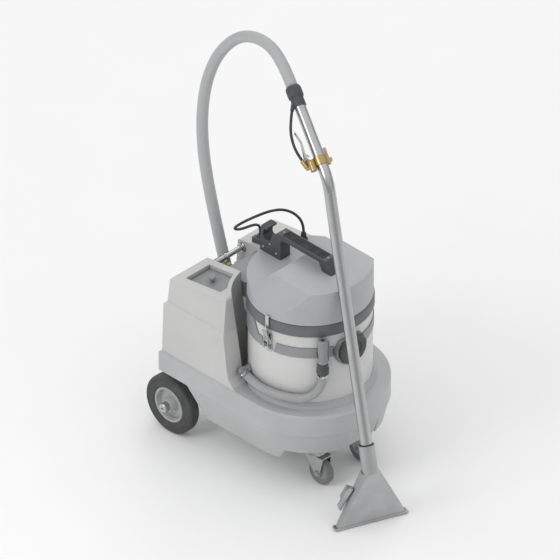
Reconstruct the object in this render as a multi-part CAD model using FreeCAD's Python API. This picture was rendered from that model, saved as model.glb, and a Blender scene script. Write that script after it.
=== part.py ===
"""Spot extractor: chassis on wheels, recovery drum with lift-off head, tank towers and suction wand.

Units are millimetres. X points to the rounded front of the machine, Y to its left side and Z up.
The model is built round the drum's axis and is moved at the end, so that the origin lies on the
floor under the middle of the rigid pieces. The machine stands on Z = 0.
"""
import FreeCAD, Part
import math
import os

V = FreeCAD.Vector
X_AXIS = V(1, 0, 0)
Y_AXIS = V(0, 1, 0)
Z_AXIS = V(0, 0, 1)
ORIGIN = V(0, 0, 0)

# ---- clearances -------------------------------------------------------------------------------
REST_GAP = 0.3            # between pieces of different bodies that rest side by side
RUN_GAP = 0.05            # radial running clearance of a bearing
FIT_GAP = 0.0             # face to face

# ---- chassis ----------------------------------------------------------------------------------
BASE_R = 254.0            # front semicircle and half width of the skirt
BASE_REAR = -421.5
SKIRT_LOW = 237.0
SKIRT_TOP = 305.0
DECK_Z = 311.0
DECK_INSET = 8.0
BELLY_TOP_INSET = 2.0
BELLY_LOW_INSET = 29.0
BELLY_Z = 125.0
BELLY_FRONT_Z = 162.0
BELLY_REAR_X = -238.5
BELLY_REAR_TOP_X = -300.0
BELLY_STEP_X = 75.0
BELLY_STEP_TOP_X = 97.0
BASE_WALL = 5.0
BUMPER_X = 222.0          # flat on the belly's front, at its lower edge
BUMPER_TOP_X = 243.0
SPINE_HALF = 160.0        # centre of the belly that runs back between the rear wheels
SPINE_Z = 140.0
COLLAR_R = 210.0
COLLAR_MID_R = 202.5
COLLAR_MID_RISE = 10.0
COLLAR_RISE = 21.0

# ---- rear wheels ------------------------------------------------------------------------------
WHEEL_R = 101.5
WHEEL_W = 45.0
WHEEL_FACE_Y = 238.0      # outer face of the tyre
WHEEL_X = -397.0
AXLE_R = 9.5
AXLE_CAP_R = 16.0
AXLE_END_Y = 263.0
RIM_R = 62.0
HUB_R = 23.0
BRACKET_T = 14.0

# ---- casters ----------------------------------------------------------------------------------
CASTER_R = 45.0
CASTER_W = 30.0
CASTER_Y = 89.0
CASTER_X = 139.0
SWIVEL_X = 118.0
FORK_T = 4.0
FORK_Z = 106.0            # top of the fork's crown
FORK_LENGTH = 84.0
CASTER_PLATE_T = 5.0
KINGPIN_R = 6.0
CASTER_AXLE_R = 5.0

# ---- drum -------------------------------------------------------------------------------------
DRUM_R = 197.5
DRUM_WALL = 4.0
DRUM_Z = 190.0
RIM_Z = 586.0             # top of the drum, under the head's ring
BELT_T = 3.5
BELT_LOW = 505.0
BELT_HIGH = 540.0
LATCH_DEG = 86.0
PORT_DEG = -6.0
PORT_Z = 518.0
PORT_R = 52.0
DRAIN_DEG = -119.0
DRAIN_Z = 358.0
RISER_DEG = -34.6

# ---- head -------------------------------------------------------------------------------------
RING_R = 203.5
HEAD_R = 200.5
RING_TOP = 616.0
SEAM_Z = 627.0            # top of the ring's conical edge
HEAD_TOP = 747.0
PLATFORM_Z = 695.0
SLOPE_X = -27.0
FACET_Y = 142.0
FACET_SLOPE = math.tan(math.radians(60))
HEAD_WALL = 4.0
POST_HALF = 22.0
POST_REAR = -203.0
POST_FRONT = -112.0
HANDLE_Z = 791.0
HANDLE_T = 17.0
HANDLE_END = 88.0
FLOAT_R = 30.0

# ---- towers -----------------------------------------------------------------------------------
TOWER_REAR = -414.0
TOWER_Y = 246.3
TOWER_INNER_Y = 74.0
BAY_DRAFT = 3.0           # how far the bay narrows up to the towers' top
SHELF_Z = 492.0
SHELF_INSET = 9.0
TOWER_FRONT = -148.0
TOWER_TOP_Z = 593.0       # top face at the rear edge
TOP_SLOPE = 0.147
TOWER_WALL = 4.0
TOP_EDGE = 6.0
SCOOP_LOW_R = 213.0       # the front scoop round the drum, at the deck
SCOOP_GROWTH = 0.115
TRAY_DEPTH = 22.0
TRAY_REAR = -351.0
TRAY_FRONT = -197.0
TRAY_OUT = 204.0
TRAY_IN = 98.0
TRAY_R = 262.0
FILL_X = -283.0
FILL_Y = -154.0
FILL_R = 38.0
BAR_X = -375.0
BAR_Z = 569.0
BAR_R = 10.5
BAR_THIN_R = 9.0

# ---- suction side -----------------------------------------------------------------------------
HOSE_R = 19.0
CUFF_R = 25.5
FERRULE_R = 21.5
DRAIN_R = 14.0
CABLE_R = 4.4
FEED_R = 4.5

# ---- wand -------------------------------------------------------------------------------------
WAND_DEG = 69.3           # direction of the mouth, seen from above
WAND_X = 400.0
WAND_Y = -132.0
MOUTH = 248.0
MOUTH_T = 20.0
FAN_H = 192.0
NECK_R = 26.0
TUBE_R = 19.0
TUBE_WALL = 1.6
TUBE_LOW = V(0, 31.5, 273)
TUBE_BEND = V(0, 325, 1107)
TUBE_END = V(0, 597, 1290)
BEND_R = 110.0


# ---- helpers ----------------------------------------------------------------------------------
def box(x0, x1, y0, y1, z0, z1):
    """A box between two corners."""
    return Part.makeBox(x1 - x0, y1 - y0, z1 - z0, V(x0, y0, z0))


def rod(radius, start, end):
    """A round bar from one point to another."""
    run = end - start
    return Part.makeCylinder(radius, run.Length, start, run)


def prism(points, along):
    """The closed outline through the points, extruded along a vector."""
    wire = Part.makePolygon([V(*p) for p in points] + [V(*points[0])])
    return Part.Face(wire).extrude(along)


def turned(profile, at=ORIGIN, angle=360.0):
    """A profile of (radius, z) points revolved about the vertical through a point."""
    wire = Part.makePolygon([V(r, 0, z) for r, z in profile] + [V(profile[0][0], 0, profile[0][1])])
    solid = Part.Face(wire).revolve(ORIGIN, Z_AXIS, angle)
    return moved(solid, at)


def moved(shape, by):
    """A copy of the shape, moved."""
    copy = shape.copy()
    copy.translate(by)
    return copy


def spun(shape, degrees, about=ORIGIN, axis=Z_AXIS):
    """A copy of the shape, turned about an axis through a point."""
    copy = shape.copy()
    copy.rotate(about, axis, degrees)
    return copy


def aimed(shape, at, direction):
    """A shape built about +Z, turned to point along a direction and put at a point."""
    copy = shape.copy()
    copy.Placement = FreeCAD.Placement(at, FreeCAD.Rotation(Z_AXIS, direction))
    return copy


def mirrored(shape):
    """The same piece on the other side of the machine."""
    return shape.mirror(ORIGIN, Y_AXIS)


def polar(radius, degrees, z):
    """A point at a bearing round the drum's axis."""
    angle = math.radians(degrees)
    return V(radius * math.cos(angle), radius * math.sin(angle), z)


def union(first, *rest):
    """All shapes fused, with the seams between flush faces removed."""
    whole = first.fuse(list(rest)) if rest else first
    return single(whole.removeSplitter())


def single(shape):
    """The only solid of a result, or the result itself if it has several."""
    return shape.Solids[0] if len(shape.Solids) == 1 else shape


def cord_path(points, name=""):
    """Straight runs joined by tangent arcs, each as large as its two runs allow."""
    edges = []
    radii = []
    start = points[0]
    for before, corner, after in zip(points, points[1:], points[2:]):
        back = (before - corner).normalize()
        ahead = (after - corner).normalize()
        half = (math.pi - back.getAngle(ahead)) / 2
        setback = 0.45 * min((before - corner).Length, (after - corner).Length)
        radii.append(setback / math.tan(half))
        a = corner + back * setback
        b = corner + ahead * setback
        middle = (back + ahead).normalize()
        reach = radii[-1] / math.cos(half) - radii[-1]
        edges.append(Part.LineSegment(start, a).toShape())
        edges.append(Part.Arc(a, corner + middle * reach, b).toShape())
        start = b
    edges.append(Part.LineSegment(start, points[-1]).toShape())
    wire = Part.Wire(edges)
    if name:
        print(name, "length", round(wire.Length), "least bend", round(min(radii), 1))
    return wire


def cord(points, radius, name):
    """A round cord or hose along a hand-laid route."""
    path = cord_path(points, name)
    run = points[1] - points[0]
    section = Part.Wire(Part.makeCircle(radius, points[0], run))
    tube = path.makePipeShell([section], True, False)
    ideal = math.pi * radius ** 2 * path.Length
    print(name, "volume against section times length", round(tube.Volume / ideal, 4))
    return single(tube)


# ---- chassis ----------------------------------------------------------------------------------
def base_outline(inset, z):
    """Plan of the base: straight back and sides and a semicircular front."""
    r = BASE_R - inset
    rear = BASE_REAR + inset
    left = V(0, r, z)
    right = V(0, -r, z)
    front = Part.Arc(right, V(r, 0, z), left).toShape()
    side_left = Part.LineSegment(left, V(rear, r, z)).toShape()
    back = Part.LineSegment(V(rear, r, z), V(rear, -r, z)).toShape()
    side_right = Part.LineSegment(V(rear, -r, z), right).toShape()
    return Part.Wire([front, side_left, back, side_right])


def belly_profile(wall):
    """Side view of the belly: wheel arch behind, flat floor, raised step under the casters."""
    low = BELLY_Z + wall
    front_low = BELLY_FRONT_Z + wall
    high = SKIRT_LOW + 1
    ahead = BASE_R + 10
    return [
        (BELLY_REAR_TOP_X + wall, 0, high),
        (BELLY_REAR_X + wall, 0, low),
        (BELLY_STEP_X - wall, 0, low),
        (BELLY_STEP_TOP_X - wall, 0, front_low),
        (ahead, 0, front_low),
        (ahead, 0, high),
    ]


def base_body(wall):
    """The base's moulded form; with a wall it is the hollow inside that form."""
    low_inset = BELLY_LOW_INSET + wall
    top_inset = BELLY_TOP_INSET + wall
    skirt_floor = SKIRT_LOW + wall
    deck = DECK_Z - wall
    skirt = Part.Face(base_outline(wall, skirt_floor)).extrude(V(0, 0, SKIRT_TOP - wall - skirt_floor))
    crown = Part.makeLoft(
        [base_outline(wall, SKIRT_TOP - wall), base_outline(wall + DECK_INSET, deck)], True, True)
    belly = Part.makeLoft(
        [base_outline(low_inset, BELLY_Z), base_outline(top_inset, skirt_floor)], True, True)
    cutter = prism(belly_profile(wall), V(0, 2 * BASE_R, 0))
    belly = belly.common(moved(cutter, V(0, -BASE_R, 0)))
    spine = box(BASE_REAR + low_inset, BELLY_REAR_X + 20, wall - SPINE_HALF, SPINE_HALF - wall,
                SPINE_Z + wall, skirt_floor)
    return union(skirt, crown, belly, spine)


def bumper_flat():
    """What is cut from the belly's front to leave a leaning flat face."""
    half = 62.0
    points = [
        (BUMPER_X, -half, BELLY_FRONT_Z - 1),
        (BUMPER_TOP_X, -half, SKIRT_LOW - 6),
        (BASE_R + 5, -half, SKIRT_LOW - 6),
        (BASE_R + 5, -half, BELLY_FRONT_Z - 1),
    ]
    return prism(points, V(0, 2 * half, 0))


def axle_bracket(y):
    """A plate under the spine with a bore that holds the rear axle."""
    points = [
        (WHEEL_X - 45, y, SPINE_Z + 4),
        (WHEEL_X + 62, y, SPINE_Z + 4),
        (WHEEL_X + 24, y, WHEEL_R - 22),
        (WHEEL_X - 20, y, WHEEL_R - 22),
    ]
    plate = prism(points, V(0, BRACKET_T, 0))
    bore = rod(AXLE_R, V(WHEEL_X, y - 1, WHEEL_R), V(WHEEL_X, y + BRACKET_T + 1, WHEEL_R))
    return plate.cut(bore)


def caster_boss(side):
    """The hollow pillar in the base that carries a caster's plate."""
    foot = BELLY_Z + CASTER_PLATE_T
    outer = box(SWIVEL_X - 46, SWIVEL_X + 46, side * CASTER_Y - 36, side * CASTER_Y + 36,
                foot, BELLY_FRONT_Z + BASE_WALL)
    return outer


def make_chassis():
    """Base moulding with its hollow, drum well, collar, axle brackets and caster bosses."""
    outer = base_body(0).cut(bumper_flat())
    inner = base_body(BASE_WALL).cut(moved(bumper_flat(), V(-BASE_WALL, 0, 0)))
    well = rod(DRUM_R + REST_GAP, V(0, 0, DRUM_Z), V(0, 0, DECK_Z + COLLAR_RISE + 1))
    seat = turned([
        (DRUM_R - 55, BELLY_Z + 1), (DRUM_R - 49, BELLY_Z + 1),
        (DRUM_R - 49, DRUM_Z), (DRUM_R - 55, DRUM_Z)])
    seat = seat.cut(box(BELLY_STEP_X - 8, BASE_R, -BASE_R, BASE_R, BELLY_Z, BELLY_FRONT_Z + 2))
    collar = turned([
        (DRUM_R + REST_GAP, DECK_Z - BASE_WALL), (COLLAR_R, DECK_Z - BASE_WALL),
        (COLLAR_R, DECK_Z), (COLLAR_MID_R, DECK_Z + COLLAR_MID_RISE),
        (DRUM_R + REST_GAP + 0.6, DECK_Z + COLLAR_RISE), (DRUM_R + REST_GAP, DECK_Z + COLLAR_RISE)])
    body = outer.cut(inner).cut(well)
    brackets = [axle_bracket(y) for y in (-SPINE_HALF + 8, SPINE_HALF - 8 - BRACKET_T)]
    bosses = [caster_boss(side) for side in (-1, 1)]
    whole = union(body, seat, collar, *brackets, *bosses)
    for side in (-1, 1):
        whole = whole.cut(caster_plate_blank(side, BELLY_Z - 1))
    relief = rod(INLET_R + INLET_FLANGE + REST_GAP, V(-COLLAR_R - 30, INLET_Y, INLET_Z),
                 V(-DRUM_R + 20, INLET_Y, INLET_Z))
    return single(whole.cut(relief))


# ---- rear wheels and axle ---------------------------------------------------------------------
def make_axle():
    """Through axle with a shoulder inside each wheel and a stepped cap outside it."""
    inner_y = WHEEL_FACE_Y - WHEEL_W
    face = WHEEL_FACE_Y + 4 + REST_GAP
    profile = [
        (0, -AXLE_END_Y), (AXLE_R, -AXLE_END_Y),
        (AXLE_CAP_R - 3, -AXLE_END_Y), (AXLE_CAP_R, -AXLE_END_Y + 3),
        (AXLE_CAP_R, -face), (AXLE_R, -face), (AXLE_R, -inner_y + REST_GAP + 4),
        (AXLE_R + 5, -inner_y + REST_GAP + 4), (AXLE_R + 5, -SPINE_HALF + 8),
        (AXLE_R, -SPINE_HALF + 8)]
    half = turned(profile + [(0, -SPINE_HALF + 8)])
    dimple = rod(4.0, V(0, 0, -AXLE_END_Y - 1), V(0, 0, -AXLE_END_Y + 5))
    half = half.cut(dimple)
    centre = rod(AXLE_R, V(0, 0, -SPINE_HALF + 8), V(0, 0, SPINE_HALF - 8))
    other = half.mirror(ORIGIN, Z_AXIS)
    bar = union(half, centre, other)
    return moved(spun(bar, -90, ORIGIN, X_AXIS), V(WHEEL_X, 0, WHEEL_R))


def wheel_frame(solid):
    """A wheel built about +Z from its inner face, put on the right end of the axle."""
    return moved(spun(solid, 90, ORIGIN, X_AXIS), V(WHEEL_X, -WHEEL_FACE_Y + WHEEL_W, WHEEL_R))


def make_tyre():
    """Tyre with rounded shoulders and a flat tread."""
    inner = RIM_R
    wire_points = [
        (inner, 3), (inner + 3, 0), (WHEEL_R - 12, 0), (WHEEL_R - 3.5, 4), (WHEEL_R, 12),
        (WHEEL_R, WHEEL_W - 12), (WHEEL_R - 3.5, WHEEL_W - 4), (WHEEL_R - 12, WHEEL_W),
        (inner + 3, WHEEL_W), (inner, WHEEL_W - 3)]
    return wheel_frame(turned(wire_points))


def make_rim():
    """Dished rim with a rolled lip, a hub and a running bore."""
    bore = AXLE_R + RUN_GAP
    profile = [
        (bore, 4), (HUB_R, 4), (HUB_R + 2, 14), (RIM_R - 12, 16), (RIM_R - 7, 4), (RIM_R, 4),
        (RIM_R, WHEEL_W - 4), (RIM_R - 4, WHEEL_W - 1), (RIM_R - 8, WHEEL_W - 4),
        (RIM_R - 11, 24), (HUB_R + 6, 20), (HUB_R, 24), (HUB_R - 2, WHEEL_W + 4), (bore, WHEEL_W + 4)]
    return wheel_frame(turned(profile))


# ---- casters ----------------------------------------------------------------------------------
def caster_plate_blank(side, low):
    """The mounting plate's block, from a height to the plate's top."""
    y = side * CASTER_Y
    return box(SWIVEL_X - 44, SWIVEL_X + 44, y - 34, y + 34, low, BELLY_Z + CASTER_PLATE_T)


def make_caster_plate(side):
    """Mounting plate with four holes and the kingpin the fork swivels on."""
    y = side * CASTER_Y
    plate = caster_plate_blank(side, BELLY_Z)
    for dx in (-36, 36):
        for dy in (-26, 26):
            start = V(SWIVEL_X + dx, y + dy, BELLY_Z - 1)
            plate = plate.cut(rod(4.2, start, start + V(0, 0, CASTER_PLATE_T + 2)))
    race = turned([
        (0, FORK_Z + 6), (26, FORK_Z + 6), (30, BELLY_Z - 4), (30, BELLY_Z), (0, BELLY_Z)],
        V(SWIVEL_X, y, 0))
    low = FORK_Z - FORK_T - 2.5
    pin = rod(KINGPIN_R, V(SWIVEL_X, y, low), V(SWIVEL_X, y, FORK_Z + 6))
    head = rod(KINGPIN_R + 4, V(SWIVEL_X, y, low - 3), V(SWIVEL_X, y, low))
    return union(plate, race, pin, head)


def make_fork(side):
    """Folded steel fork: crown with a raised race and two cheeks that taper to the axle."""
    y = side * CASTER_Y
    inner = CASTER_W / 2 + 3.0
    outer = inner + FORK_T
    rear = SWIVEL_X - FORK_LENGTH / 2 + 3
    front = rear + FORK_LENGTH
    crown = box(rear, front, y - outer, y + outer, FORK_Z - FORK_T, FORK_Z)
    race = turned([(KINGPIN_R + RUN_GAP, FORK_Z - 0.5), (28, FORK_Z - 0.5), (24, FORK_Z + 5.5),
                   (KINGPIN_R + RUN_GAP, FORK_Z + 5.5)], V(SWIVEL_X, y, 0))
    eye = 13.0
    cheek_points = [
        (rear, 0, FORK_Z), (front, 0, FORK_Z), (front - 2, 0, FORK_Z - 22),
        (CASTER_X + eye, 0, CASTER_R), (CASTER_X + eye * 0.7, 0, CASTER_R - eye * 0.7),
        (CASTER_X, 0, CASTER_R - eye), (CASTER_X - eye * 0.7, 0, CASTER_R - eye * 0.7)]
    cheek = prism(cheek_points, V(0, FORK_T, 0))
    cheeks = [moved(cheek, V(0, y + offset, 0)) for offset in (inner, -outer)]
    fork = union(crown, race, *cheeks)
    bore = rod(CASTER_AXLE_R, V(CASTER_X, y - outer - 1, CASTER_R), V(CASTER_X, y + outer + 1, CASTER_R))
    pin_hole = rod(KINGPIN_R + RUN_GAP, V(SWIVEL_X, y, FORK_Z - FORK_T - 1), V(SWIVEL_X, y, FORK_Z + 7))
    return single(fork.cut(bore).cut(pin_hole))


def make_caster_bolt(side):
    """Axle bolt with a hexagon head outside the fork and a nut on its other end."""
    y = side * CASTER_Y
    reach = CASTER_W / 2 + 3.0 + FORK_T
    hexagon = [(8 * math.cos(math.radians(60 * i)), 8 * math.sin(math.radians(60 * i)), 0)
               for i in range(6)]
    head = prism(hexagon, V(0, 0, 6))
    shank = rod(CASTER_AXLE_R, V(0, 0, 0), V(0, 0, -2 * reach))
    nut = moved(head, V(0, 0, -2 * reach - 6))
    socket = rod(3.0, V(0, 0, 3), V(0, 0, 7))
    bolt = union(head, shank, nut).cut(socket)
    return moved(spun(single(bolt), 90, ORIGIN, X_AXIS), V(CASTER_X, y - reach, CASTER_R))


def make_caster_wheel(side):
    """Grey rubber tread on a hub that is longer than the tread is wide."""
    y = side * CASTER_Y
    half = CASTER_W / 2
    bore = CASTER_AXLE_R + RUN_GAP
    hub = half + 3.0 - REST_GAP
    core_r = CASTER_R - 11
    core = turned([
        (bore, -hub), (13, -hub), (15, -half + 4), (core_r - 4, -half + 6), (core_r - 2, -half + 2),
        (core_r, -half + 2), (core_r, half - 2), (core_r - 2, half - 2), (core_r - 4, half - 6),
        (15, half - 4), (13, hub), (bore, hub)])
    tread = turned([
        (core_r, -half + 2), (core_r + 2, -half), (CASTER_R - 5, -half), (CASTER_R - 1, -half + 4),
        (CASTER_R, -half + 10), (CASTER_R, half - 10), (CASTER_R - 1, half - 4),
        (CASTER_R - 5, half), (core_r + 2, half), (core_r, half - 2)])
    place = V(CASTER_X, y, CASTER_R)
    return [moved(spun(solid, 90, ORIGIN, X_AXIS), place) for solid in (core, tread)]


# ---- recovery drum ----------------------------------------------------------------------------
INLET_Y = 18.0
INLET_Z = 350.0
INLET_R = 21.0
INLET_FLANGE = 15.0       # how far the elbow's flange stands out round it
NECK_PORT_R = 44.0
DRAIN_PATH_R = DRUM_R + BELT_T + DRAIN_R + 3.5


def radial(solid, degrees):
    """A piece modelled at bearing zero, turned to its bearing round the drum."""
    return spun(solid, degrees)


def make_drum():
    """Open drum with a rolled rim, and holes for the inlet, the drain and the cleanout port."""
    r = DRUM_R
    inner = r - DRUM_WALL
    drum = turned([
        (0, DRUM_Z), (r - 12, DRUM_Z), (r, DRUM_Z + 12), (r, RIM_Z), (inner, RIM_Z),
        (inner, DRUM_Z + 16), (inner - 12, DRUM_Z + 5), (0, DRUM_Z + 5)])
    inlet = rod(INLET_R, V(-r - 5, INLET_Y, INLET_Z), V(-inner + 20, INLET_Y, INLET_Z))
    drain = radial(rod(DRAIN_R, V(inner - 20, 0, DRAIN_Z), V(r + 5, 0, DRAIN_Z)), DRAIN_DEG)
    port = radial(rod(NECK_PORT_R, V(inner - 20, 0, PORT_Z), V(r + 5, 0, PORT_Z)), PORT_DEG)
    return single(drum.cut(inlet).cut(drain).cut(port))


def make_belt():
    """Raised band round the drum: narrow in front, up to the ring behind, notched at each latch."""
    r = DRUM_R
    band = turned([(r, BELT_LOW - BELT_T), (r + BELT_T, BELT_LOW), (r + BELT_T, RIM_Z), (r, RIM_Z)])
    window = prism([
        (-62, -BASE_R, RIM_Z + 1), (-34, -BASE_R, BELT_HIGH), (BASE_R, -BASE_R, BELT_HIGH),
        (BASE_R, -BASE_R, RIM_Z + 1)], V(0, 2 * BASE_R, 0))
    notch = prism([
        (0, -19, BELT_LOW - 8), (0, 19, BELT_LOW - 8), (0, 30, BELT_HIGH + 1), (0, -30, BELT_HIGH + 1)],
        V(BASE_R, 0, 0))
    port = rod(PORT_R + 11, V(0, 0, PORT_Z), V(BASE_R, 0, PORT_Z))
    band = band.cut(window).cut(radial(port, PORT_DEG))
    for side in (-1, 1):
        band = band.cut(radial(notch, side * LATCH_DEG))
    return single(band)


def make_port():
    """Shield-shaped flange on the drum with a round neck through the wall."""
    half = PORT_R + 8
    face = DRUM_R + 11
    z = PORT_Z
    outline = [
        Part.Arc(V(0, half, z + 8), V(0, 0, z - half), V(0, -half, z + 8)).toShape(),
        Part.LineSegment(V(0, -half, z + 8), V(0, -half * 0.7, z + half * 0.65)).toShape(),
        Part.LineSegment(V(0, -half * 0.7, z + half * 0.65), V(0, half * 0.7, z + half * 0.65)).toShape(),
        Part.LineSegment(V(0, half * 0.7, z + half * 0.65), V(0, half, z + 8)).toShape()]
    plate = Part.Face(Part.Wire(outline)).extrude(V(face, 0, 0))
    core = Part.makeCylinder(DRUM_R, 4 * half, V(0, 0, z - 2 * half))
    plate = plate.cut(core)
    neck = rod(NECK_PORT_R, V(DRUM_R - DRUM_WALL - 6, 0, z), V(face, 0, z))
    bore = rod(NECK_PORT_R - 5, V(DRUM_R - 60, 0, z), V(face + 1, 0, z))
    return radial(single(union(plate, neck).cut(bore)), PORT_DEG)


def make_port_cap():
    """Quarter-turn cap with a spigot in the neck, two wings and a dished middle."""
    face = DRUM_R + 11 + REST_GAP
    spigot = NECK_PORT_R - 5 - RUN_GAP
    profile = [
        (0, -9), (spigot, -9), (spigot, 0), (PORT_R, 0), (PORT_R, 8), (PORT_R - 4, 12),
        (PORT_R - 20, 12), (PORT_R - 24, 8), (0, 8)]
    cap = turned(profile)
    wings = []
    for sign in (-1, 1):
        x = sign * (PORT_R - 16)
        tip = sign * (PORT_R + 7)
        outline = [(x, -9, 3), (tip, -5, 3), (tip, 5, 3), (x, 9, 3)]
        wings.append(prism(outline, V(0, 0, 13)))
    ribs = []
    for i in range(12):
        knob = Part.makeCylinder(2.4, 8, V(PORT_R, 0, 0))
        ribs.append(spun(knob, 30 * i + 15))
    bar = box(-PORT_R + 24, PORT_R - 24, -4, 4, 4, 17)
    cap = union(cap, bar, *wings, *ribs)
    cap = spun(cap, 90, ORIGIN, Y_AXIS)
    return radial(moved(cap, V(face, 0, PORT_Z)), PORT_DEG)


# ---- drain ------------------------------------------------------------------------------------
def drain_points():
    """Route of the drain hose: round the foot of the drum, then up to its clip."""
    bearings = [(-113, 0), (-98, 0), (-83, 0), (-68, 0), (-52.5, 0), (-44.3, 12.6), (-38, 36),
                (RISER_DEG, 66.4), (RISER_DEG, 99.4)]
    return [polar(DRAIN_PATH_R, b, DRAIN_Z + rise) for b, rise in bearings]


def make_drain_hose():
    """Soft drain hose."""
    return cord(drain_points(), DRAIN_R, "drain hose")


def make_drain_elbow():
    """Elbow out of the drum with a wall nut and two ring clamps."""
    points = drain_points()
    along = (points[1] - points[0]).normalize()
    turn = points[0] - along * 20
    wall = polar(DRUM_R - DRUM_WALL - 6, DRAIN_DEG, DRAIN_Z)
    pipe_r = DRAIN_R + 2
    root = polar(DRUM_R + 2, DRAIN_DEG, DRAIN_Z)
    inside = rod(DRAIN_R, wall, root)
    outside = rod(pipe_r, root, turn)
    nut_profile = [(21 * math.cos(math.radians(60 * i)), 21 * math.sin(math.radians(60 * i)), 0)
                   for i in range(6)]
    nut = prism(nut_profile, V(0, 0, 7))
    nut = aimed(nut, polar(DRUM_R + 1.2, DRAIN_DEG, DRAIN_Z), polar(1, DRAIN_DEG, 0))
    knee = Part.makeSphere(pipe_r, turn)
    arm = rod(pipe_r, turn, points[0])
    ring = rod(pipe_r + 2, points[0] - along * 9, points[0] - along * 4)
    bore = rod(DRAIN_R - 3, turn, points[0] + along)
    bore_in = rod(DRAIN_R - 3, wall - polar(1, DRAIN_DEG, 0), root)
    bore_out = rod(DRAIN_R - 3, root - polar(1, DRAIN_DEG, 0), turn)
    body = union(inside, outside, nut, knee, arm, ring)
    return single(body.cut(bore).cut(bore_in).cut(bore_out))


def make_drain_collar():
    """Moulded collar that holds the hose's upper end, with clamp slots on two sides."""
    foot = drain_points()[-1]
    height = 38.0
    at = V(foot.x, foot.y, foot.z)
    body = turned([(0, 0), (19, 0), (20, 3), (20, 20), (17, 30), (17, height), (0, height)], at)
    for sign in (-1, 1):
        slot = box(-4, 4, sign * 17.5 - 3, sign * 17.5 + 3, 4, 18)
        body = body.cut(moved(spun(slot, RISER_DEG), at))
    return single(body)


def make_drain_plug():
    """Plug that closes the hose: barrel, finger ribs down one side, recessed top."""
    foot = drain_points()[-1] + V(0, 0, 38)
    height = 90.0
    body = turned([(0, 0), (14, 0), (16.5, 4), (16.5, height - 3), (14.5, height), (8, height),
                   (8, height - 6), (0, height - 6)])
    pieces = [body]
    for i in range(8):
        pieces.append(box(-5, 5, 14, 20, 10 + 9.5 * i, 15 + 9.5 * i))
    pieces.append(box(-3, 3, 14, 18, 8, 83))
    return moved(spun(union(*pieces), RISER_DEG), foot)


def make_drain_clip():
    """Spring clip on the belt that holds the plug upright."""
    foot = drain_points()[-1] + V(0, 0, 38)
    inner = 16.5 + REST_GAP
    outer = inner + 2.6
    ring = turned([(inner, 24), (outer, 24), (outer, 38), (inner, 38)])
    ring = ring.cut(box(6, 40, -40, 40, 20, 45)).cut(box(-6, 40, 0, 40, 20, 45))
    ring = moved(spun(ring, RISER_DEG), foot)
    centre = V(0, 0, foot.z)
    root = box(DRUM_R + BELT_T, DRAIN_PATH_R - inner + 0.5, -9, 9, 24, 38)
    root = moved(radial(root, RISER_DEG), centre)
    root = root.cut(moved(Part.makeCylinder(inner, 60), foot))
    return single(union(ring, root).cut(rod(DRUM_R + BELT_T, V(0, 0, 0), V(0, 0, RIM_Z))))


# ---- latches ----------------------------------------------------------------------------------
LATCH_PIVOT = V(208.5, 0, 520)
BAIL_PIVOT = V(208.5, 0, 545)
LATCH_PIN_R = 2.5


def make_latch_base(side):
    """Plate on the drum in the belt's notch, with two ears and the lever's pin."""
    face = DRUM_R
    plate = box(face - 2, face + 4.5, -13, 13, 512, 566)
    foot = rod(13, V(face - 2, 0, 512), V(face + 4.5, 0, 512))
    plate = union(plate, foot).cut(Part.makeCylinder(face, 200, V(0, 0, 450)))
    ears = []
    for sign in (-1, 1):
        y = sign * 11.4
        ear = box(face + 2, LATCH_PIVOT.x, y - 1.6, y + 1.6, LATCH_PIVOT.z - 6, LATCH_PIVOT.z + 6)
        tip = rod(6, V(LATCH_PIVOT.x, y - 1.6, LATCH_PIVOT.z), V(LATCH_PIVOT.x, y + 1.6, LATCH_PIVOT.z))
        ears += [ear, tip]
    pin = rod(LATCH_PIN_R, LATCH_PIVOT + V(0, -14, 0), LATCH_PIVOT + V(0, 14, 0))
    return radial(union(plate, *ears, pin), side * LATCH_DEG)


def make_latch_lever(side):
    """Folded lever with two cheeks, a ribbed finger tab and the bail's pin."""
    cheeks = []
    for sign in (-1, 1):
        y = sign * 8.4
        cheek = prism([
            (205.5, y - 1, 515.5), (213.5, y - 1, 515.5), (215.5, y - 1, 530), (215.5, y - 1, 566),
            (212.5, y - 1, 566), (204.0, y - 1, 548)], V(0, 2, 0))
        cheeks.append(cheek)
    web = prism([
        (213.5, -9.4, 548), (215.5, -9.4, 548), (215.5, -9.4, 566), (222.5, -9.4, 588),
        (220.5, -9.4, 588), (213.5, -9.4, 566)], V(0, 18.8, 0))
    ribs = [box(214.5, 217.0, -8, 8, 550 + 5 * i, 552 + 5 * i) for i in range(3)]
    pin = rod(LATCH_PIN_R, BAIL_PIVOT + V(0, -9.4, 0), BAIL_PIVOT + V(0, 9.4, 0))
    lever = union(*cheeks, web, pin, *ribs)
    hole = rod(LATCH_PIN_R + RUN_GAP, LATCH_PIVOT + V(0, -20, 0), LATCH_PIVOT + V(0, 20, 0))
    return radial(single(lever.cut(hole)), side * LATCH_DEG)


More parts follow.
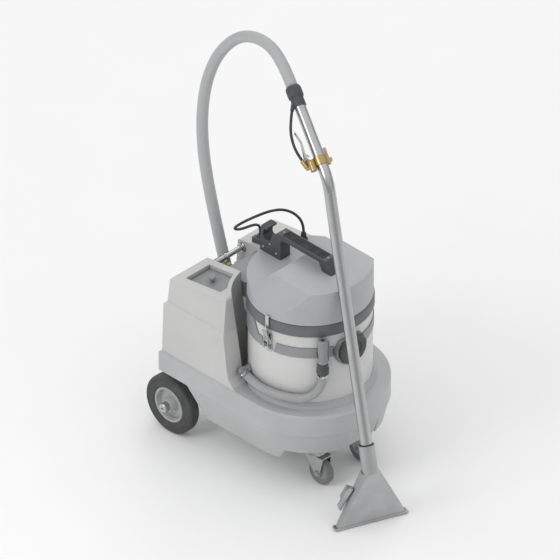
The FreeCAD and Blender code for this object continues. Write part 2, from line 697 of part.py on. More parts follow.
def make_latch_bail(side):
    """Link from the lever to the claw that pulls on the ring's conical edge."""
    half = 6.6
    eye = rod(5.0, BAIL_PIVOT + V(0, -half, 0), BAIL_PIVOT + V(0, half, 0))
    gap = REST_GAP + 0.15
    lean = (RING_R - HEAD_R) / (SEAM_Z - RING_TOP)
    claw_low = 606.0
    claw = prism([
        (BAIL_PIVOT.x - 1, -half, BAIL_PIVOT.z + 3), (BAIL_PIVOT.x + 1.5, -half, BAIL_PIVOT.z + 3),
        (208.5, -half, claw_low), (208.5, -half, 634), (204, -half, 636),
        (HEAD_R + gap, -half, 632), (HEAD_R + gap, -half, SEAM_Z),
        (RING_R + gap + lean * (RING_TOP - claw_low), -half, claw_low)],
        V(0, 2 * half, 0))
    window = box(200, 212, -2.6, 2.6, 570, 604)
    bail = union(eye, claw).cut(window)
    hole = rod(LATCH_PIN_R + RUN_GAP, BAIL_PIVOT + V(0, -20, 0), BAIL_PIVOT + V(0, 20, 0))
    return radial(single(bail.cut(hole)), side * LATCH_DEG)


# ---- head -------------------------------------------------------------------------------------
INTAKE_R = 42.0
MOTOR_R = 72.0
PLATE_T = 6.0


def make_head_ring():
    """Ring that sits on the drum's rim, with the motor plate and its intake across it."""
    seat = RIM_Z + REST_GAP
    lip_out = DRUM_R - DRUM_WALL - 0.5
    plate = SEAM_Z - PLATE_T
    return turned([
        (INTAKE_R, plate - 4), (lip_out - 4, plate - 4), (lip_out - 4, seat - 9), (lip_out, seat - 9),
        (lip_out, seat), (RING_R, seat), (RING_R, RING_TOP), (HEAD_R, SEAM_Z), (INTAKE_R, SEAM_Z)])


def head_form(wall):
    """Head's outer form, or with a wall the hollow inside it."""
    top = HEAD_TOP - wall
    low = SEAM_Z
    body = Part.makeCylinder(HEAD_R - wall, top - low, V(0, 0, low))
    reach = HEAD_R + 20
    facet_low = SEAM_Z + 8
    out = (HEAD_TOP - facet_low) / FACET_SLOPE
    lean = wall / math.sin(math.radians(60))
    for sign in (-1, 1):
        points = [
            (-reach, sign * (FACET_Y - lean), HEAD_TOP),
            (-reach, sign * (FACET_Y - lean + out), facet_low),
            (-reach, sign * (reach + 40), facet_low),
            (-reach, sign * (reach + 40), HEAD_TOP)]
        body = body.cut(prism(points, V(2 * reach, 0, 0)))
    slope = HEAD_TOP - PLATFORM_Z
    shift = wall * math.sqrt(2) - wall
    rear = prism([
        (SLOPE_X + shift + wall, -reach, HEAD_TOP), (SLOPE_X + shift - slope, -reach, PLATFORM_Z - wall),
        (-reach, -reach, PLATFORM_Z - wall), (-reach, -reach, HEAD_TOP)], V(0, 2 * reach, 0))
    return body.cut(rear)


def make_head_cover():
    """Moulded motor cover: round front, two leaning side facets, stepped back, cooling slots."""
    outer = head_form(0)
    inner = head_form(HEAD_WALL)
    shell = outer.cut(inner)
    for i in range(7):
        z = 652 + 6.5 * i
        slot = box(-HEAD_R - 5, -150, -95, -40, z, z + 3)
        shell = shell.cut(slot).cut(mirrored(slot))
    return single(shell)


def post_profile(y):
    """Side view of post, cord hook and handle as one closed wire."""
    top = HANDLE_Z
    under = HANDLE_Z - HANDLE_T
    a = [V(*p) for p in (
        (POST_REAR, y, PLATFORM_Z), (POST_FRONT, y, PLATFORM_Z), (POST_FRONT, y, 748),
        (-107, y, 767), (-92, y, under), (60, y, under), (74, y, HEAD_TOP), (116, y, HEAD_TOP),
        (HANDLE_END, y, top), (-128, y, top), (-147, y, 768), (-156, y, 744), (-184, y, 744),
        (-190, y, 752), (-187, y, 776), (-180, y, 783), (-171, y, 783), (-171, y, top - 1),
        (-197, y, top - 1))]
    edges = [Part.LineSegment(a[0], a[1]).toShape(), Part.LineSegment(a[1], a[2]).toShape(),
             Part.Arc(a[2], a[3], a[4]).toShape()]
    edges += [Part.LineSegment(p, q).toShape() for p, q in zip(a[4:9], a[5:10])]
    edges.append(Part.Arc(a[9], a[10], a[11]).toShape())
    edges += [Part.LineSegment(p, q).toShape() for p, q in zip(a[11:], a[12:] + a[:1])]
    return Part.Wire(edges)


def make_handle():
    """Post with the cord hook and the carry handle that bridges to the head's flat top."""
    body = Part.Face(post_profile(-POST_HALF)).extrude(V(0, 2 * POST_HALF, 0))
    pocket = box(-108, 72, -POST_HALF + 6, POST_HALF - 6, HANDLE_Z - 5, HANDLE_Z + 1)
    body = single(body.cut(pocket))
    long_edges = [e for e in body.Edges if e.BoundBox.XLength > 100 and e.BoundBox.ZLength < 0.01
                  and e.BoundBox.ZMin > HEAD_TOP + 2 and abs(abs(e.BoundBox.YMin) - POST_HALF) < 0.01]
    return single(body.makeFillet(2.5, long_edges))


def make_grip():
    """Soft insert in the top of the handle, with cross grooves."""
    grip = box(-108, 72, -POST_HALF + 6, POST_HALF - 6, HANDLE_Z - 5, HANDLE_Z + 1.2)
    count = 14
    for i in range(count):
        x = -98 + i * 160 / (count - 1)
        grip = grip.cut(box(x - 1.5, x + 1.5, -POST_HALF + 9, POST_HALF - 9, HANDLE_Z - 0.4, HANDLE_Z + 2))
    return single(grip)


def make_motor():
    """Two-stage vacuum motor on the plate: fan casing, field casing, top bearing."""
    z = SEAM_Z
    return turned([
        (INTAKE_R - 14, z), (MOTOR_R, z), (MOTOR_R, z + 24), (MOTOR_R - 3, z + 26),
        (MOTOR_R - 3, z + 48), (MOTOR_R - 14, z + 50), (46, z + 56), (46, z + 92), (38, z + 96),
        (14, z + 98), (14, z + 104), (0, z + 104), (0, z + 50), (INTAKE_R - 14, z + 40)])


def make_float_cage():
    """Filter cage under the intake: flange, eight bars and a floor."""
    top = SEAM_Z - PLATE_T - 4
    height = 92.0
    seat = FLOAT_R - 6
    ring = turned([(seat, top - 8), (INTAKE_R + 10, top - 8), (INTAKE_R + 10, top), (seat, top)])
    floor = Part.makeCylinder(INTAKE_R, 4, V(0, 0, top - height))
    bars = []
    for i in range(8):
        bar = Part.makeCylinder(3, height - 8, V(INTAKE_R - 5, 0, top - height))
        bars.append(spun(bar, 45 * i))
    return union(ring, floor, *bars)


def make_float():
    """Float ball that lies on the cage's floor and shuts the intake when the drum is full."""
    floor = SEAM_Z - PLATE_T - 4 - 92 + 4
    return Part.makeSphere(FLOAT_R, V(0, 0, floor + FLOAT_R + REST_GAP))


# ---- tank towers ------------------------------------------------------------------------------
def top_z(x):
    """Height of the towers' sloping top at a distance along the machine."""
    return TOWER_TOP_Z + TOP_SLOPE * (x + 390.0)


def scoop_r(z):
    """Radius of the conical front scoop at a height."""
    return SCOOP_LOW_R + SCOOP_GROWTH * (z - DECK_Z)


def tower_side(wall):
    """Side view of a tower: stepped back, sloping top, front edge that flares to the deck."""
    w = wall
    front = TOWER_FRONT - w
    flare = [(-128 - w, 374), (-119 - w, 340), (-98 - w, 318), (-89 - w, DECK_Z + w)]
    outline = [
        (TOWER_REAR + w, DECK_Z + w), (TOWER_REAR + 3 + w, SHELF_Z), (TOWER_REAR + 12 + w, SHELF_Z + 8),
        (TOWER_REAR + 20 + w, top_z(TOWER_REAR + 20) - w), (front, top_z(front) - w),
        (front - 3, SHELF_Z + 8), (front + 4, SHELF_Z)] + flare
    return [(x, -BASE_R, z) for x, z in outline]


def tower_high():
    """Height that clears the towers everywhere."""
    return top_z(TOWER_FRONT) + 20


def bay_half(z):
    """Half width of the bay between the towers at a height."""
    return TOWER_INNER_Y - BAY_DRAFT * (z - DECK_Z) / (tower_high() - DECK_Z)


def tower_back(wall):
    """Rear view of a tower: drafted outer side with its shelf, and upright inner side."""
    w = wall
    high = tower_high()
    outer = [(TOWER_Y - w, DECK_Z), (TOWER_Y - 3 - w, SHELF_Z),
             (TOWER_Y - 3 - SHELF_INSET - w, SHELF_Z + 8), (TOWER_Y - 20 - w, high)]
    inner = [(bay_half(high) + w, high), (bay_half(DECK_Z) + w, DECK_Z)]
    return [(-BASE_R * 2, -y, z) for y, z in outer + inner]


def tower_body(wall):
    """Right tower: the two silhouettes crossed, less the conical scoop round the drum."""
    side = prism(tower_side(wall), V(0, 2 * BASE_R, 0))
    back = prism(tower_back(wall), V(4 * BASE_R, 0, 0))
    high = tower_high() + 10
    scoop = turned([(0, DECK_Z - 1), (scoop_r(DECK_Z) + wall, DECK_Z - 1), (scoop_r(high) + wall, high),
                    (0, high)])
    return single(side.common(back).cut(scoop))


def tray_prism(low_drop, growth):
    """Vertical prism of the filler tray's outline with its front side curved round the drum."""
    g = growth
    points = [(TRAY_REAR - g, -TRAY_OUT - g), (TRAY_FRONT + g, -TRAY_OUT - g),
              (TRAY_FRONT + g, -TRAY_IN + g), (TRAY_REAR - g, -TRAY_IN + g)]
    low = top_z(TRAY_REAR) - low_drop
    block = prism([(x, y, low) for x, y in points], V(0, 0, 120))
    return block.cut(Part.makeCylinder(TRAY_R - g, 200, V(0, 0, low - 10)))


def tray_floor_cut(growth, drop):
    """Everything above the tray's sloping floor, inside the tray's outline."""
    outline = tray_prism(60, growth)
    x0 = TRAY_REAR - 20
    x1 = TRAY_FRONT + 20
    above = prism([
        (x0, -BASE_R, top_z(x0) - drop), (x1, -BASE_R, top_z(x1) - drop),
        (x1, -BASE_R, top_z(x1) + 60), (x0, -BASE_R, top_z(x0) + 60)], V(0, BASE_R, 0))
    return outline.common(above)


def top_edges(solid):
    """Edges round the sloping top face, less those along the scoop."""
    chosen = []
    for edge in solid.Edges:
        middle = edge.valueAt((edge.FirstParameter + edge.LastParameter) / 2)
        on_top = abs(middle.z - top_z(middle.x)) < 0.05
        straight = isinstance(edge.Curve, Part.Line)
        if on_top and straight and middle.y < -TOWER_INNER_Y - 5:
            chosen.append(edge)
    return chosen


def make_tank():
    """Solution tank: hollow tower with the filler tray and its neck."""
    body = tower_body(0)
    body = single(body.makeChamfer(TOP_EDGE, top_edges(body)))
    inner = tower_body(TOWER_WALL)
    tray_shell = tray_floor_cut(TOWER_WALL, TRAY_DEPTH + TOWER_WALL)
    tray = tray_floor_cut(0, TRAY_DEPTH)
    body = body.cut(inner.cut(tray_shell)).cut(tray)
    neck = Part.makeCylinder(FILL_R, 90, V(FILL_X, FILL_Y, top_z(FILL_X) - 70))
    return single(body.cut(neck))


def make_fill_lid():
    """Flat lid that fills the tray's floor, with a plug in the filler hole and a mushroom knob."""
    gap = REST_GAP + 0.7
    thick = 7.0
    plate = tray_floor_cut(-gap, TRAY_DEPTH - REST_GAP)
    plate = plate.cut(moved(tray_floor_cut(5, TRAY_DEPTH), V(0, 0, thick)))
    top = top_z(FILL_X) - TRAY_DEPTH + REST_GAP
    plug = Part.makeCylinder(FILL_R - 1.0, 22, V(FILL_X, FILL_Y, top - 16))
    foot = top + thick - 2
    knob = turned([(0, 0), (7, 0), (6, 9), (12, 14), (14.5, 19), (13, 23), (8, 25.5), (0, 26.5)],
                  V(FILL_X, FILL_Y, foot))
    return union(plate, plug, knob)


def make_housing():
    """Left housing: the tank's twin, closed on top, with the socket's recess."""
    body = tower_body(0)
    body = single(body.makeChamfer(TOP_EDGE, top_edges(body)))
    body = mirrored(single(body.cut(tower_body(TOWER_WALL))))
    return single(body)


SOCKET_X = -322.0
SOCKET_Y = 100.0


def make_socket():
    """Socket block on the left housing that the head's cable plugs into."""
    low = top_z(SOCKET_X)
    half = 21.0
    base = prism([
        (SOCKET_X - half, 0, top_z(SOCKET_X - half)), (SOCKET_X + half, 0, top_z(SOCKET_X + half)),
        (SOCKET_X + half, 0, low + 19), (SOCKET_X - half, 0, low + 16)], V(0, 34, 0))
    base = moved(base, V(0, SOCKET_Y - 17, 0))
    well = Part.makeCylinder(11.0 + REST_GAP, 14, V(SOCKET_X, SOCKET_Y, low + 8))
    return single(base.cut(well))


def between_towers(solid):
    """A piece trimmed to end face to face with both towers."""
    tower = tower_body(0)
    return single(solid.cut(tower).cut(mirrored(tower)))


def make_bar():
    """Bar between the towers: a thick half with a collar and a thin half."""
    at = V(BAR_X, 0, BAR_Z)
    step = V(0, -6, 0)
    thick = rod(BAR_R, at - Y_AXIS * TOWER_INNER_Y, at + step)
    thin = rod(BAR_THIN_R, at + step, at + Y_AXIS * TOWER_INNER_Y)
    ring = rod(BAR_R + 3, at + step - Y_AXIS * 4, at + step + Y_AXIS * 4)
    return between_towers(union(thick, thin, ring))


# ---- bay between the towers -------------------------------------------------------------------
BRIDGE_REAR = -322.0
BRIDGE_LOW = 528.0
BRIDGE_TOP = 584.0


def make_bridge():
    """Cover across the bay behind the drum, with a rounded back edge and open underneath."""
    half = bay_half(BRIDGE_TOP) - 4
    wide = TOWER_INNER_Y
    front = -DRUM_R - BELT_T - 14
    outer = box(BRIDGE_REAR, front, -wide, wide, BRIDGE_LOW, BRIDGE_TOP)
    back = [e for e in outer.Edges if e.BoundBox.XMax < BRIDGE_REAR + 1 and e.BoundBox.YLength > 50]
    high = [e for e in back if e.BoundBox.ZMin > BRIDGE_TOP - 1]
    outer = outer.makeFillet(14, high)
    hollow = box(BRIDGE_REAR + 4, front + 1, -half, half, BRIDGE_LOW - 1, BRIDGE_TOP - 4)
    clear = Part.makeCylinder(RING_R + 6, 200, V(0, 0, BRIDGE_LOW - 20))
    return between_towers(outer.cut(hollow).cut(clear))


def make_coupler():
    """Quick coupling on the back of the bridge where the wand's solution line plugs in."""
    at = V(BRIDGE_REAR, -18, 556)
    profile = [(0, 0), (9, 0), (9, 8), (7, 10), (7, 16), (10, 17), (10, 27), (7, 29), (4, 30), (0, 30)]
    return aimed(turned(profile), at, V(-1, 0, 0))


PUMP_Y = -40.0
PUMP_R = 27.0


def make_pump_motor():
    """Pump motor lying on a saddle foot on the deck."""
    z = DECK_Z + PUMP_R + 6
    start = V(-395, PUMP_Y, z)
    barrel = aimed(turned([(0, 0), (PUMP_R - 4, 0), (PUMP_R, 4), (PUMP_R, 84), (PUMP_R - 5, 90), (0, 90)]),
                   start, X_AXIS)
    foot = box(-380, -330, PUMP_Y - 22, PUMP_Y + 22, DECK_Z, z - 16)
    return union(barrel, foot)


def make_pump():
    """Pump head with two ports on its front end."""
    z = DECK_Z + PUMP_R + 6
    block = box(-305, -258, PUMP_Y - 24, PUMP_Y + 24, z - 24, z + 24)
    upright = [e for e in block.Edges if e.BoundBox.XLength > 40]
    block = block.makeFillet(6, upright)
    ports = [rod(7, V(-282, PUMP_Y + dy, z), V(-282, PUMP_Y + dy, z + 38)) for dy in (-13, 13)]
    nuts = [rod(10, V(-282, PUMP_Y + dy, z + 24), V(-282, PUMP_Y + dy, z + 30)) for dy in (-13, 13)]
    foot = box(-300, -262, PUMP_Y - 20, PUMP_Y + 20, DECK_Z, z - 20)
    return union(block, foot, *ports, *nuts)


# ---- suction hose -----------------------------------------------------------------------------
HOSE_RISE = 97.5    # first straight run of the hose above the wand's cuff
HOSE_POINTS = [
    V(-328, 120, 1370), V(-422, 112, 1344), V(-490, 88, 1262),
    V(-526, 66, 1150), V(-533, 50, 1025), V(-515, 36, 900), V(-481, 26, 785), V(-446, 20, 680),
    V(-413, 18, 575), V(-384, 18, 480)]
HOSE_DOWN = (HOSE_POINTS[-1] - HOSE_POINTS[-2]).normalize()
ELBOW_CORNER = HOSE_POINTS[-1] + HOSE_DOWN * ((INLET_Z - HOSE_POINTS[-1].z) / HOSE_DOWN.z)
CUFF_LENGTH = 62.0


def make_inlet_elbow():
    """Rigid elbow from the drum's back wall up to the hose cuff."""
    end = HOSE_POINTS[-1]
    top = end + HOSE_DOWN * (CUFF_LENGTH - 18)
    points = [V(-DRUM_R + DRUM_WALL + 6, INLET_Y, INLET_Z), ELBOW_CORNER, top]
    wire = cord_path(points)
    tubes = []
    for radius in (INLET_R, INLET_R - 3):
        section = Part.Wire(Part.makeCircle(radius, points[0], points[1] - points[0]))
        tubes.append(wire.makePipeShell([section], True, False))
    rim = INLET_R + INLET_FLANGE
    flange = turned([(INLET_R - 1, 0), (rim, 0), (rim, 6), (INLET_R - 1, 6)])
    flange = aimed(flange, V(-DRUM_R - 6.5, INLET_Y, INLET_Z), X_AXIS)
    flange = flange.cut(Part.makeCylinder(DRUM_R, 200, V(0, 0, INLET_Z - 100)))
    return single(union(tubes[0], flange).cut(tubes[1]))


def make_cuff():
    """Swivel cuff that joins hose and elbow: ribbed skirt and a smooth nose."""
    end = HOSE_POINTS[-1]
    down = HOSE_DOWN
    profile = [
        (HOSE_R - 4, 0), (HOSE_R + 3, 0), (CUFF_R, 5), (CUFF_R, 40), (CUFF_R + 2, 42),
        (CUFF_R + 2, 56), (CUFF_R, CUFF_LENGTH), (INLET_R, CUFF_LENGTH), (INLET_R, CUFF_LENGTH - 18),
        (HOSE_R - 4, CUFF_LENGTH - 18)]
    return aimed(turned(profile), end, down)


# ---- wand -------------------------------------------------------------------------------------
def wand_place(shape):
    """A wand piece from the wand's own frame into the machine's."""
    return moved(spun(shape, WAND_DEG), V(WAND_X, WAND_Y, 0))


def wand_point(point):
    """A point of the wand's own frame in the machine's."""
    turn = FreeCAD.Rotation(Z_AXIS, WAND_DEG)
    return turn.multVec(point) + V(WAND_X, WAND_Y, 0)


LOWER = (TUBE_BEND - TUBE_LOW).normalize()
UPPER = (TUBE_END - TUBE_BEND).normalize()


def tube_solid(radius):
    """The wand's bent tube at a radius, from neck to top."""
    half = LOWER.getAngle(UPPER) / 2
    setback = BEND_R * math.tan(half)
    a = TUBE_BEND - LOWER * setback
    b = TUBE_BEND + UPPER * setback
    middle = TUBE_BEND + (UPPER - LOWER).normalize() * (BEND_R / math.cos(half) - BEND_R)
    start = TUBE_LOW - LOWER * 30
    top = TUBE_END - UPPER * 34
    wire = Part.Wire([Part.LineSegment(start, a).toShape(), Part.Arc(a, middle, b).toShape(),
                      Part.LineSegment(b, top).toShape()])
    section = Part.Wire(Part.makeCircle(radius, start, LOWER))
    return wire.makePipeShell([section], True, False)


def make_wand_tube():
    """Bent steel tube."""
    return wand_place(single(tube_solid(TUBE_R).cut(tube_solid(TUBE_R - TUBE_WALL))))


def make_wand_cuff():
    """Rubber cuff at the wand's top: ferrule, ring and hose sleeve."""
    r = TUBE_R
    profile = [
        (r, 0), (FERRULE_R, 0), (FERRULE_R, 30), (CUFF_R - 1, 33), (CUFF_R, 36), (CUFF_R, 62),
        (CUFF_R - 3, 70), (HOSE_R - 4, 70), (HOSE_R - 4, 36), (r, 36)]
    cuff = aimed(turned(profile), TUBE_END - UPPER * 70, UPPER)
    length = (TUBE_END - TUBE_BEND).Length
    nipple = rod(FEED_R + 1.5, side_point(length - 52, FERRULE_R - 4), feed_points()[0])
    keep = rod(FERRULE_R - 1, TUBE_END - UPPER * 80, TUBE_END)
    return wand_place(union(cuff, nipple.cut(keep)))


def fan_section(width, depth, corner, z, y):
    """Cross-section of the fan head at a height: a rectangle with its corners cut at 45 degrees."""
    hx = width / 2
    hy = depth / 2
    c = corner
    corners = [(hx - c, hy), (-hx + c, hy), (-hx, hy - c), (-hx, -hy + c), (-hx + c, -hy), (hx - c, -hy),
               (hx, -hy + c), (hx, hy - c)]
    points = [V(px, y + py, z) for px, py in corners]
    return Part.makePolygon(points + points[:1])


FAN_NECK_Y = 5.0


def fan_outer():
    """Outside of the fan, from the mouth up to the neck, with its slanted edges rounded."""
    fan = Part.makeLoft([fan_section(MOUTH, MOUTH_T, 4, 0, 0),
                         fan_section(60, 46, 13, FAN_H, FAN_NECK_Y)], True, True)
    slanted = [edge for edge in fan.Edges if edge.BoundBox.ZLength > FAN_H - 1]
    return fan.makeFillet(3.0, slanted)


def make_wand_head():
    """Fan-shaped head with an open slot mouth, and the neck the tube sits in."""
    outer = fan_outer()
    inner = Part.makeLoft([fan_section(MOUTH - 7, MOUTH_T - 7, 2.5, -1, 0),
                           fan_section(44, 32, 9, FAN_H - 16, FAN_NECK_Y)], True, True)
    foot = TUBE_LOW - LOWER * 92
    neck = rod(NECK_R, foot, TUBE_LOW + LOWER * 2)
    lip = box(-MOUTH / 2 - 2, MOUTH / 2 + 2, -MOUTH_T / 2 - 2, MOUTH_T / 2 + 2, 5, 12)
    lip = lip.cut(box(-MOUTH / 2 + 3, MOUTH / 2 - 3, -MOUTH_T / 2 + 3, MOUTH_T / 2 - 3, 0, 14))
    body = union(outer, neck, lip)
    socket = rod(TUBE_R, TUBE_LOW - LOWER * 30, TUBE_LOW + LOWER * 5)
    throat = rod(TUBE_R - 4, foot + LOWER * 6, TUBE_LOW)
    return wand_place(single(body.cut(inner).cut(socket).cut(throat)))


def make_nozzle():
    """Spray nozzle block behind the fan's slanted edge with its jet and feed stub."""
    outline = [(-22, 0), (14, 0), (26, 12), (26, 20), (-14, 20), (-22, 10)]
    wire = [(0, y, z) for z, y in outline]
    block = prism(wire, V(26, 0, 0))
    block = moved(spun(block, 31, ORIGIN, Y_AXIS), V(-82, 14.5, 118))
    jet = rod(6, V(-60, 26, 112), V(-66, 26, 92))
    tip = rod(3.5, V(-66, 26, 92), V(-68, 26, 84))
    return wand_place(single(union(block, jet, tip).cut(fan_outer())))


VALVE_T = 66.0      # distance of the valve above the tube's bend
INLET_BACK = 18.0   # how far the valve's inlet lies under the trigger


def side_point(along, out, back=0.0):
    """A point beside the upper tube: along it from the bend, out to the left, back under it."""
    normal = V(0, -UPPER.z, UPPER.y)
    return TUBE_BEND + UPPER * along + V(-out, 0, 0) - normal * back


def valve_elbow():
    """Corner of the valve's inlet beside the tube."""
    return side_point(VALVE_T - 6, TUBE_R + 24, INLET_BACK)


def inlet_direction():
    """Direction in which the valve's inlet points, up along the tube."""
    return (side_point(VALVE_T + 30, TUBE_R + 34, INLET_BACK) - valve_elbow()).normalize()


def make_valve():
    """Solution valve clamped beside the tube: clamp band, body, elbow and knurled inlet."""
    band_out = rod(TUBE_R + 4, side_point(VALVE_T - 15, 0), side_point(VALVE_T + 15, 0))
    band_in = rod(TUBE_R, side_point(VALVE_T - 20, 0), side_point(VALVE_T + 20, 0))
    body = rod(11, side_point(VALVE_T - 26, TUBE_R + 13), side_point(VALVE_T + 10, TUBE_R + 13))
    body = union(band_out, body).cut(band_in)
    elbow = valve_elbow()
    arm = rod(7, side_point(VALVE_T - 6, TUBE_R + 13), elbow)
    knee = Part.makeSphere(7.6, elbow)
    inlet_dir = inlet_direction()
    inlet = rod(8.5, elbow + inlet_dir * 4, elbow + inlet_dir * 30)
    knurl = []
    for i in range(12):
        rib = Part.makeCylinder(1.2, 20, V(8.6, 0, 0))
        rib = spun(rib, 30 * i)
        knurl.append(aimed(rib, elbow + inlet_dir * 7, inlet_dir))
    clamp = prism([(-9, 0, -6), (9, 0, -6), (9, 0, 6), (-9, 0, 6)], V(0, 12, 0))
    clamp = aimed(clamp, side_point(VALVE_T, -TUBE_R - 11), UPPER)
    ears = []
    hinge = lever_pivot()
    for sign in (-1, 1):
        near = hinge + lever_axis() * (sign * 7.6 - 1.6)
        ears.append(rod(5, near, near + lever_axis() * 3.2))
    pin = rod(2.5, hinge - lever_axis() * 9, hinge + lever_axis() * 9)
    arms = []
    for sign in (-1, 1):
        offset = lever_axis() * (sign * 9.0)
        arms.append(rod(2.9, side_point(VALVE_T + 4, TUBE_R + 13) + offset * 0.9, hinge + offset))
    return wand_place(union(body, arm, knee, inlet, clamp, *knurl, *ears, pin, *arms))


def lever_axis():
    """Hinge direction of the trigger, square to the tube."""
    return V(0, UPPER.z, -UPPER.y)


def lever_pivot():
    """Centre of the trigger's hinge pin."""
    return side_point(VALVE_T + 16, TUBE_R + 27)


def make_trigger():
    """Long trigger along the tube, hinged at the valve, with a turned-out tip."""
    axis = lever_axis()
    half = 5.6
    pivot = lever_pivot()
    out = V(-1, 0, 0)
    outline = [
        pivot - UPPER * 5 - out * 3.2, pivot - UPPER * 3 + out * 4.5, pivot + UPPER * 60 - out * 4.0,
        pivot + UPPER * 96 + out * 4.0, pivot + UPPER * 98 + out * 1.0, pivot + UPPER * 60 - out * 8.0,
        pivot + UPPER * 6 - out * 4.2]
    start = [p - axis * half for p in outline]
    blade = Part.Face(Part.makePolygon(start + start[:1])).extrude(axis * 2 * half)
    eye = rod(5.0, pivot - axis * half, pivot + axis * half)
    hole = rod(2.5 + RUN_GAP, pivot - axis * 20, pivot + axis * 20)
    return wand_place(single(union(blade, eye).cut(hole)))


def feed_points():
    """Route of the wand's solution hose: out of the cuff, along the tube, into the valve."""
    end = valve_elbow() + inlet_direction() * 30
    length = (TUBE_END - TUBE_BEND).Length
    return [side_point(length - 76, 30), side_point(length - 106, 45.5),
            side_point(length - 144, 58, 10), side_point(length - 182, 61, 16),
            end + inlet_direction() * 24, end]


def make_feed_hose():
    """Thin solution hose on the wand."""
    return cord([wand_point(p) for p in feed_points()], FEED_R, "feed hose")


# ---- cable ------------------------------------------------------------------------------------
CABLE_END = V(-142, 112, PLATFORM_Z)
CABLE_POINTS = [
    V(-142, 112, 722), V(-142, 112, 756), V(-162, 96, 792), V(-186, 66, 812), V(-206, 30, 814),
    V(-222, -8, 808), V(-238, -42, 798), V(-260, -62, 778), V(-284, -56, 750), V(-298, -28, 724),
    V(-306, 10, 706), V(-313, 48, 694), V(-319, 80, 680), V(-322, 100, 660), V(-322, 100, 628)]


def make_cable():
    """Cable that takes power from the left housing to the head."""
    return cord(CABLE_POINTS, CABLE_R, "cable")


def make_cable_boot():
    """Strain relief on the head's platform."""
    return turned([(0, 0), (13, 0), (13, 4), (9, 7), (6.5, 27), (0, 27)], CABLE_END)


def make_cable_plug():
    """Plug at the cable's lower end, standing in the socket."""
    top = CABLE_POINTS[-1]
    low = top_z(SOCKET_X) + 8 + REST_GAP
    height = top.z - low
    return turned([(0, 0), (11, 0), (11, height - 10), (6.5, height), (0, height)],
                  V(SOCKET_X, SOCKET_Y, low))


# ---- suction hose -----------------------------------------------------------------------------
def make_suction_hose():
    """Hose from the wand's cuff, over behind the machine, down to the swivel cuff."""
    start = wand_point(TUBE_END + UPPER * REST_GAP)
    rise = wand_point(TUBE_END + UPPER * HOSE_RISE)
    return cord([start, rise] + HOSE_POINTS, HOSE_R, "suction hose")


# ---- all pieces -------------------------------------------------------------------------------
def build():
    """Every node's solid in the drum's frame."""
    parts = {
        "chassis_base": make_chassis(),
        "rear_axle": make_axle(),
        "recovery_drum": make_drum(),
        "drum_belt": make_belt(),
        "front_port": make_port(),
        "port_cap": make_port_cap(),
        "drain_elbow": make_drain_elbow(),
        "drain_hose": make_drain_hose(),
        "drain_collar": make_drain_collar(),
        "drain_plug": make_drain_plug(),
        "drain_clip": make_drain_clip(),
        "head_ring": make_head_ring(),
        "head_cover": make_head_cover(),
        "carry_handle": make_handle(),
        "grip_insert": make_grip(),
        "vacuum_motor": make_motor(),
        "float_cage": make_float_cage(),
        "float_ball": make_float(),
        "solution_tank": make_tank(),
        "fill_lid": make_fill_lid(),
        "left_housing": make_housing(),
        "power_socket": make_socket(),
        "push_bar": make_bar(),
        "bay_bridge": make_bridge(),
        "quick_coupler": make_coupler(),
        "pump_motor": make_pump_motor(),
        "solution_pump": make_pump(),
        "inlet_elbow": make_inlet_elbow(),
        "hose_cuff": make_cuff(),
        "wand_tube": make_wand_tube(),
        "wand_cuff": make_wand_cuff(),
        "wand_head": make_wand_head(),
        "spray_nozzle": make_nozzle(),
        "solution_valve": make_valve(),
        "trigger": make_trigger(),
        "feed_hose": make_feed_hose(),
        "power_cable": make_cable(),
        "cable_boot": make_cable_boot(),
        "cable_plug": make_cable_plug(),
        "suction_hose": make_suction_hose(),
    }
    tyre = make_tyre()
    rim = make_rim()
    for side, name in ((-1, "right"), (1, "left")):
        parts["tyre_" + name] = tyre if side < 0 else mirrored(tyre)
        parts["rim_" + name] = rim if side < 0 else mirrored(rim)
        parts["caster_plate_" + name] = make_caster_plate(side)
        parts["caster_fork_" + name] = make_fork(side)
        parts["caster_bolt_" + name] = make_caster_bolt(side)
        core, tread = make_caster_wheel(side)
        parts["caster_hub_" + name] = core
        parts["caster_tread_" + name] = tread
        parts["latch_base_" + name] = make_latch_base(side)
        parts["latch_lever_" + name] = make_latch_lever(side)
        parts["latch_bail_" + name] = make_latch_bail(side)
    return parts


CORDS = ("suction_hose", "power_cable", "drain_hose", "feed_hose")


def footprint_centre(parts):
    """Middle of the plan of the rigid pieces."""
    rigid = Part.makeCompound([shape for name, shape in parts.items() if name not in CORDS])
    around = rigid.optimalBoundingBox(True, False)
    return V((around.XMin + around.XMax) / 2, (around.YMin + around.YMax) / 2, 0)


def main():
    """Build the pieces, put the origin under their middle and write one STEP file each."""
    parts = build()
    centre = footprint_centre(parts)
    print("origin is at", round(centre.x, 3), round(centre.y, 3), "from the drum's axis")
    os.makedirs("parts", exist_ok=True)
    for name, shape in parts.items():
        moved(single(shape), V(-centre.x, -centre.y, 0)).exportStep("parts/" + name + ".step")


main()
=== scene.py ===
"""Looks of a spot extractor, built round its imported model.

The machine is a rounded base on two rear wheels and two casters. A recovery drum with a lift-off
head stands on it, with a solution tank and a housing behind, and a bent suction wand leans on it.
All lengths are metres, X points to the rounded front, Y to the left side and Z up.
"""
import logging
import math
from dataclasses import dataclass
from enum import Enum
from typing import Callable, Iterable, Sequence

import bmesh
import bpy
from mathutils import Matrix, Vector


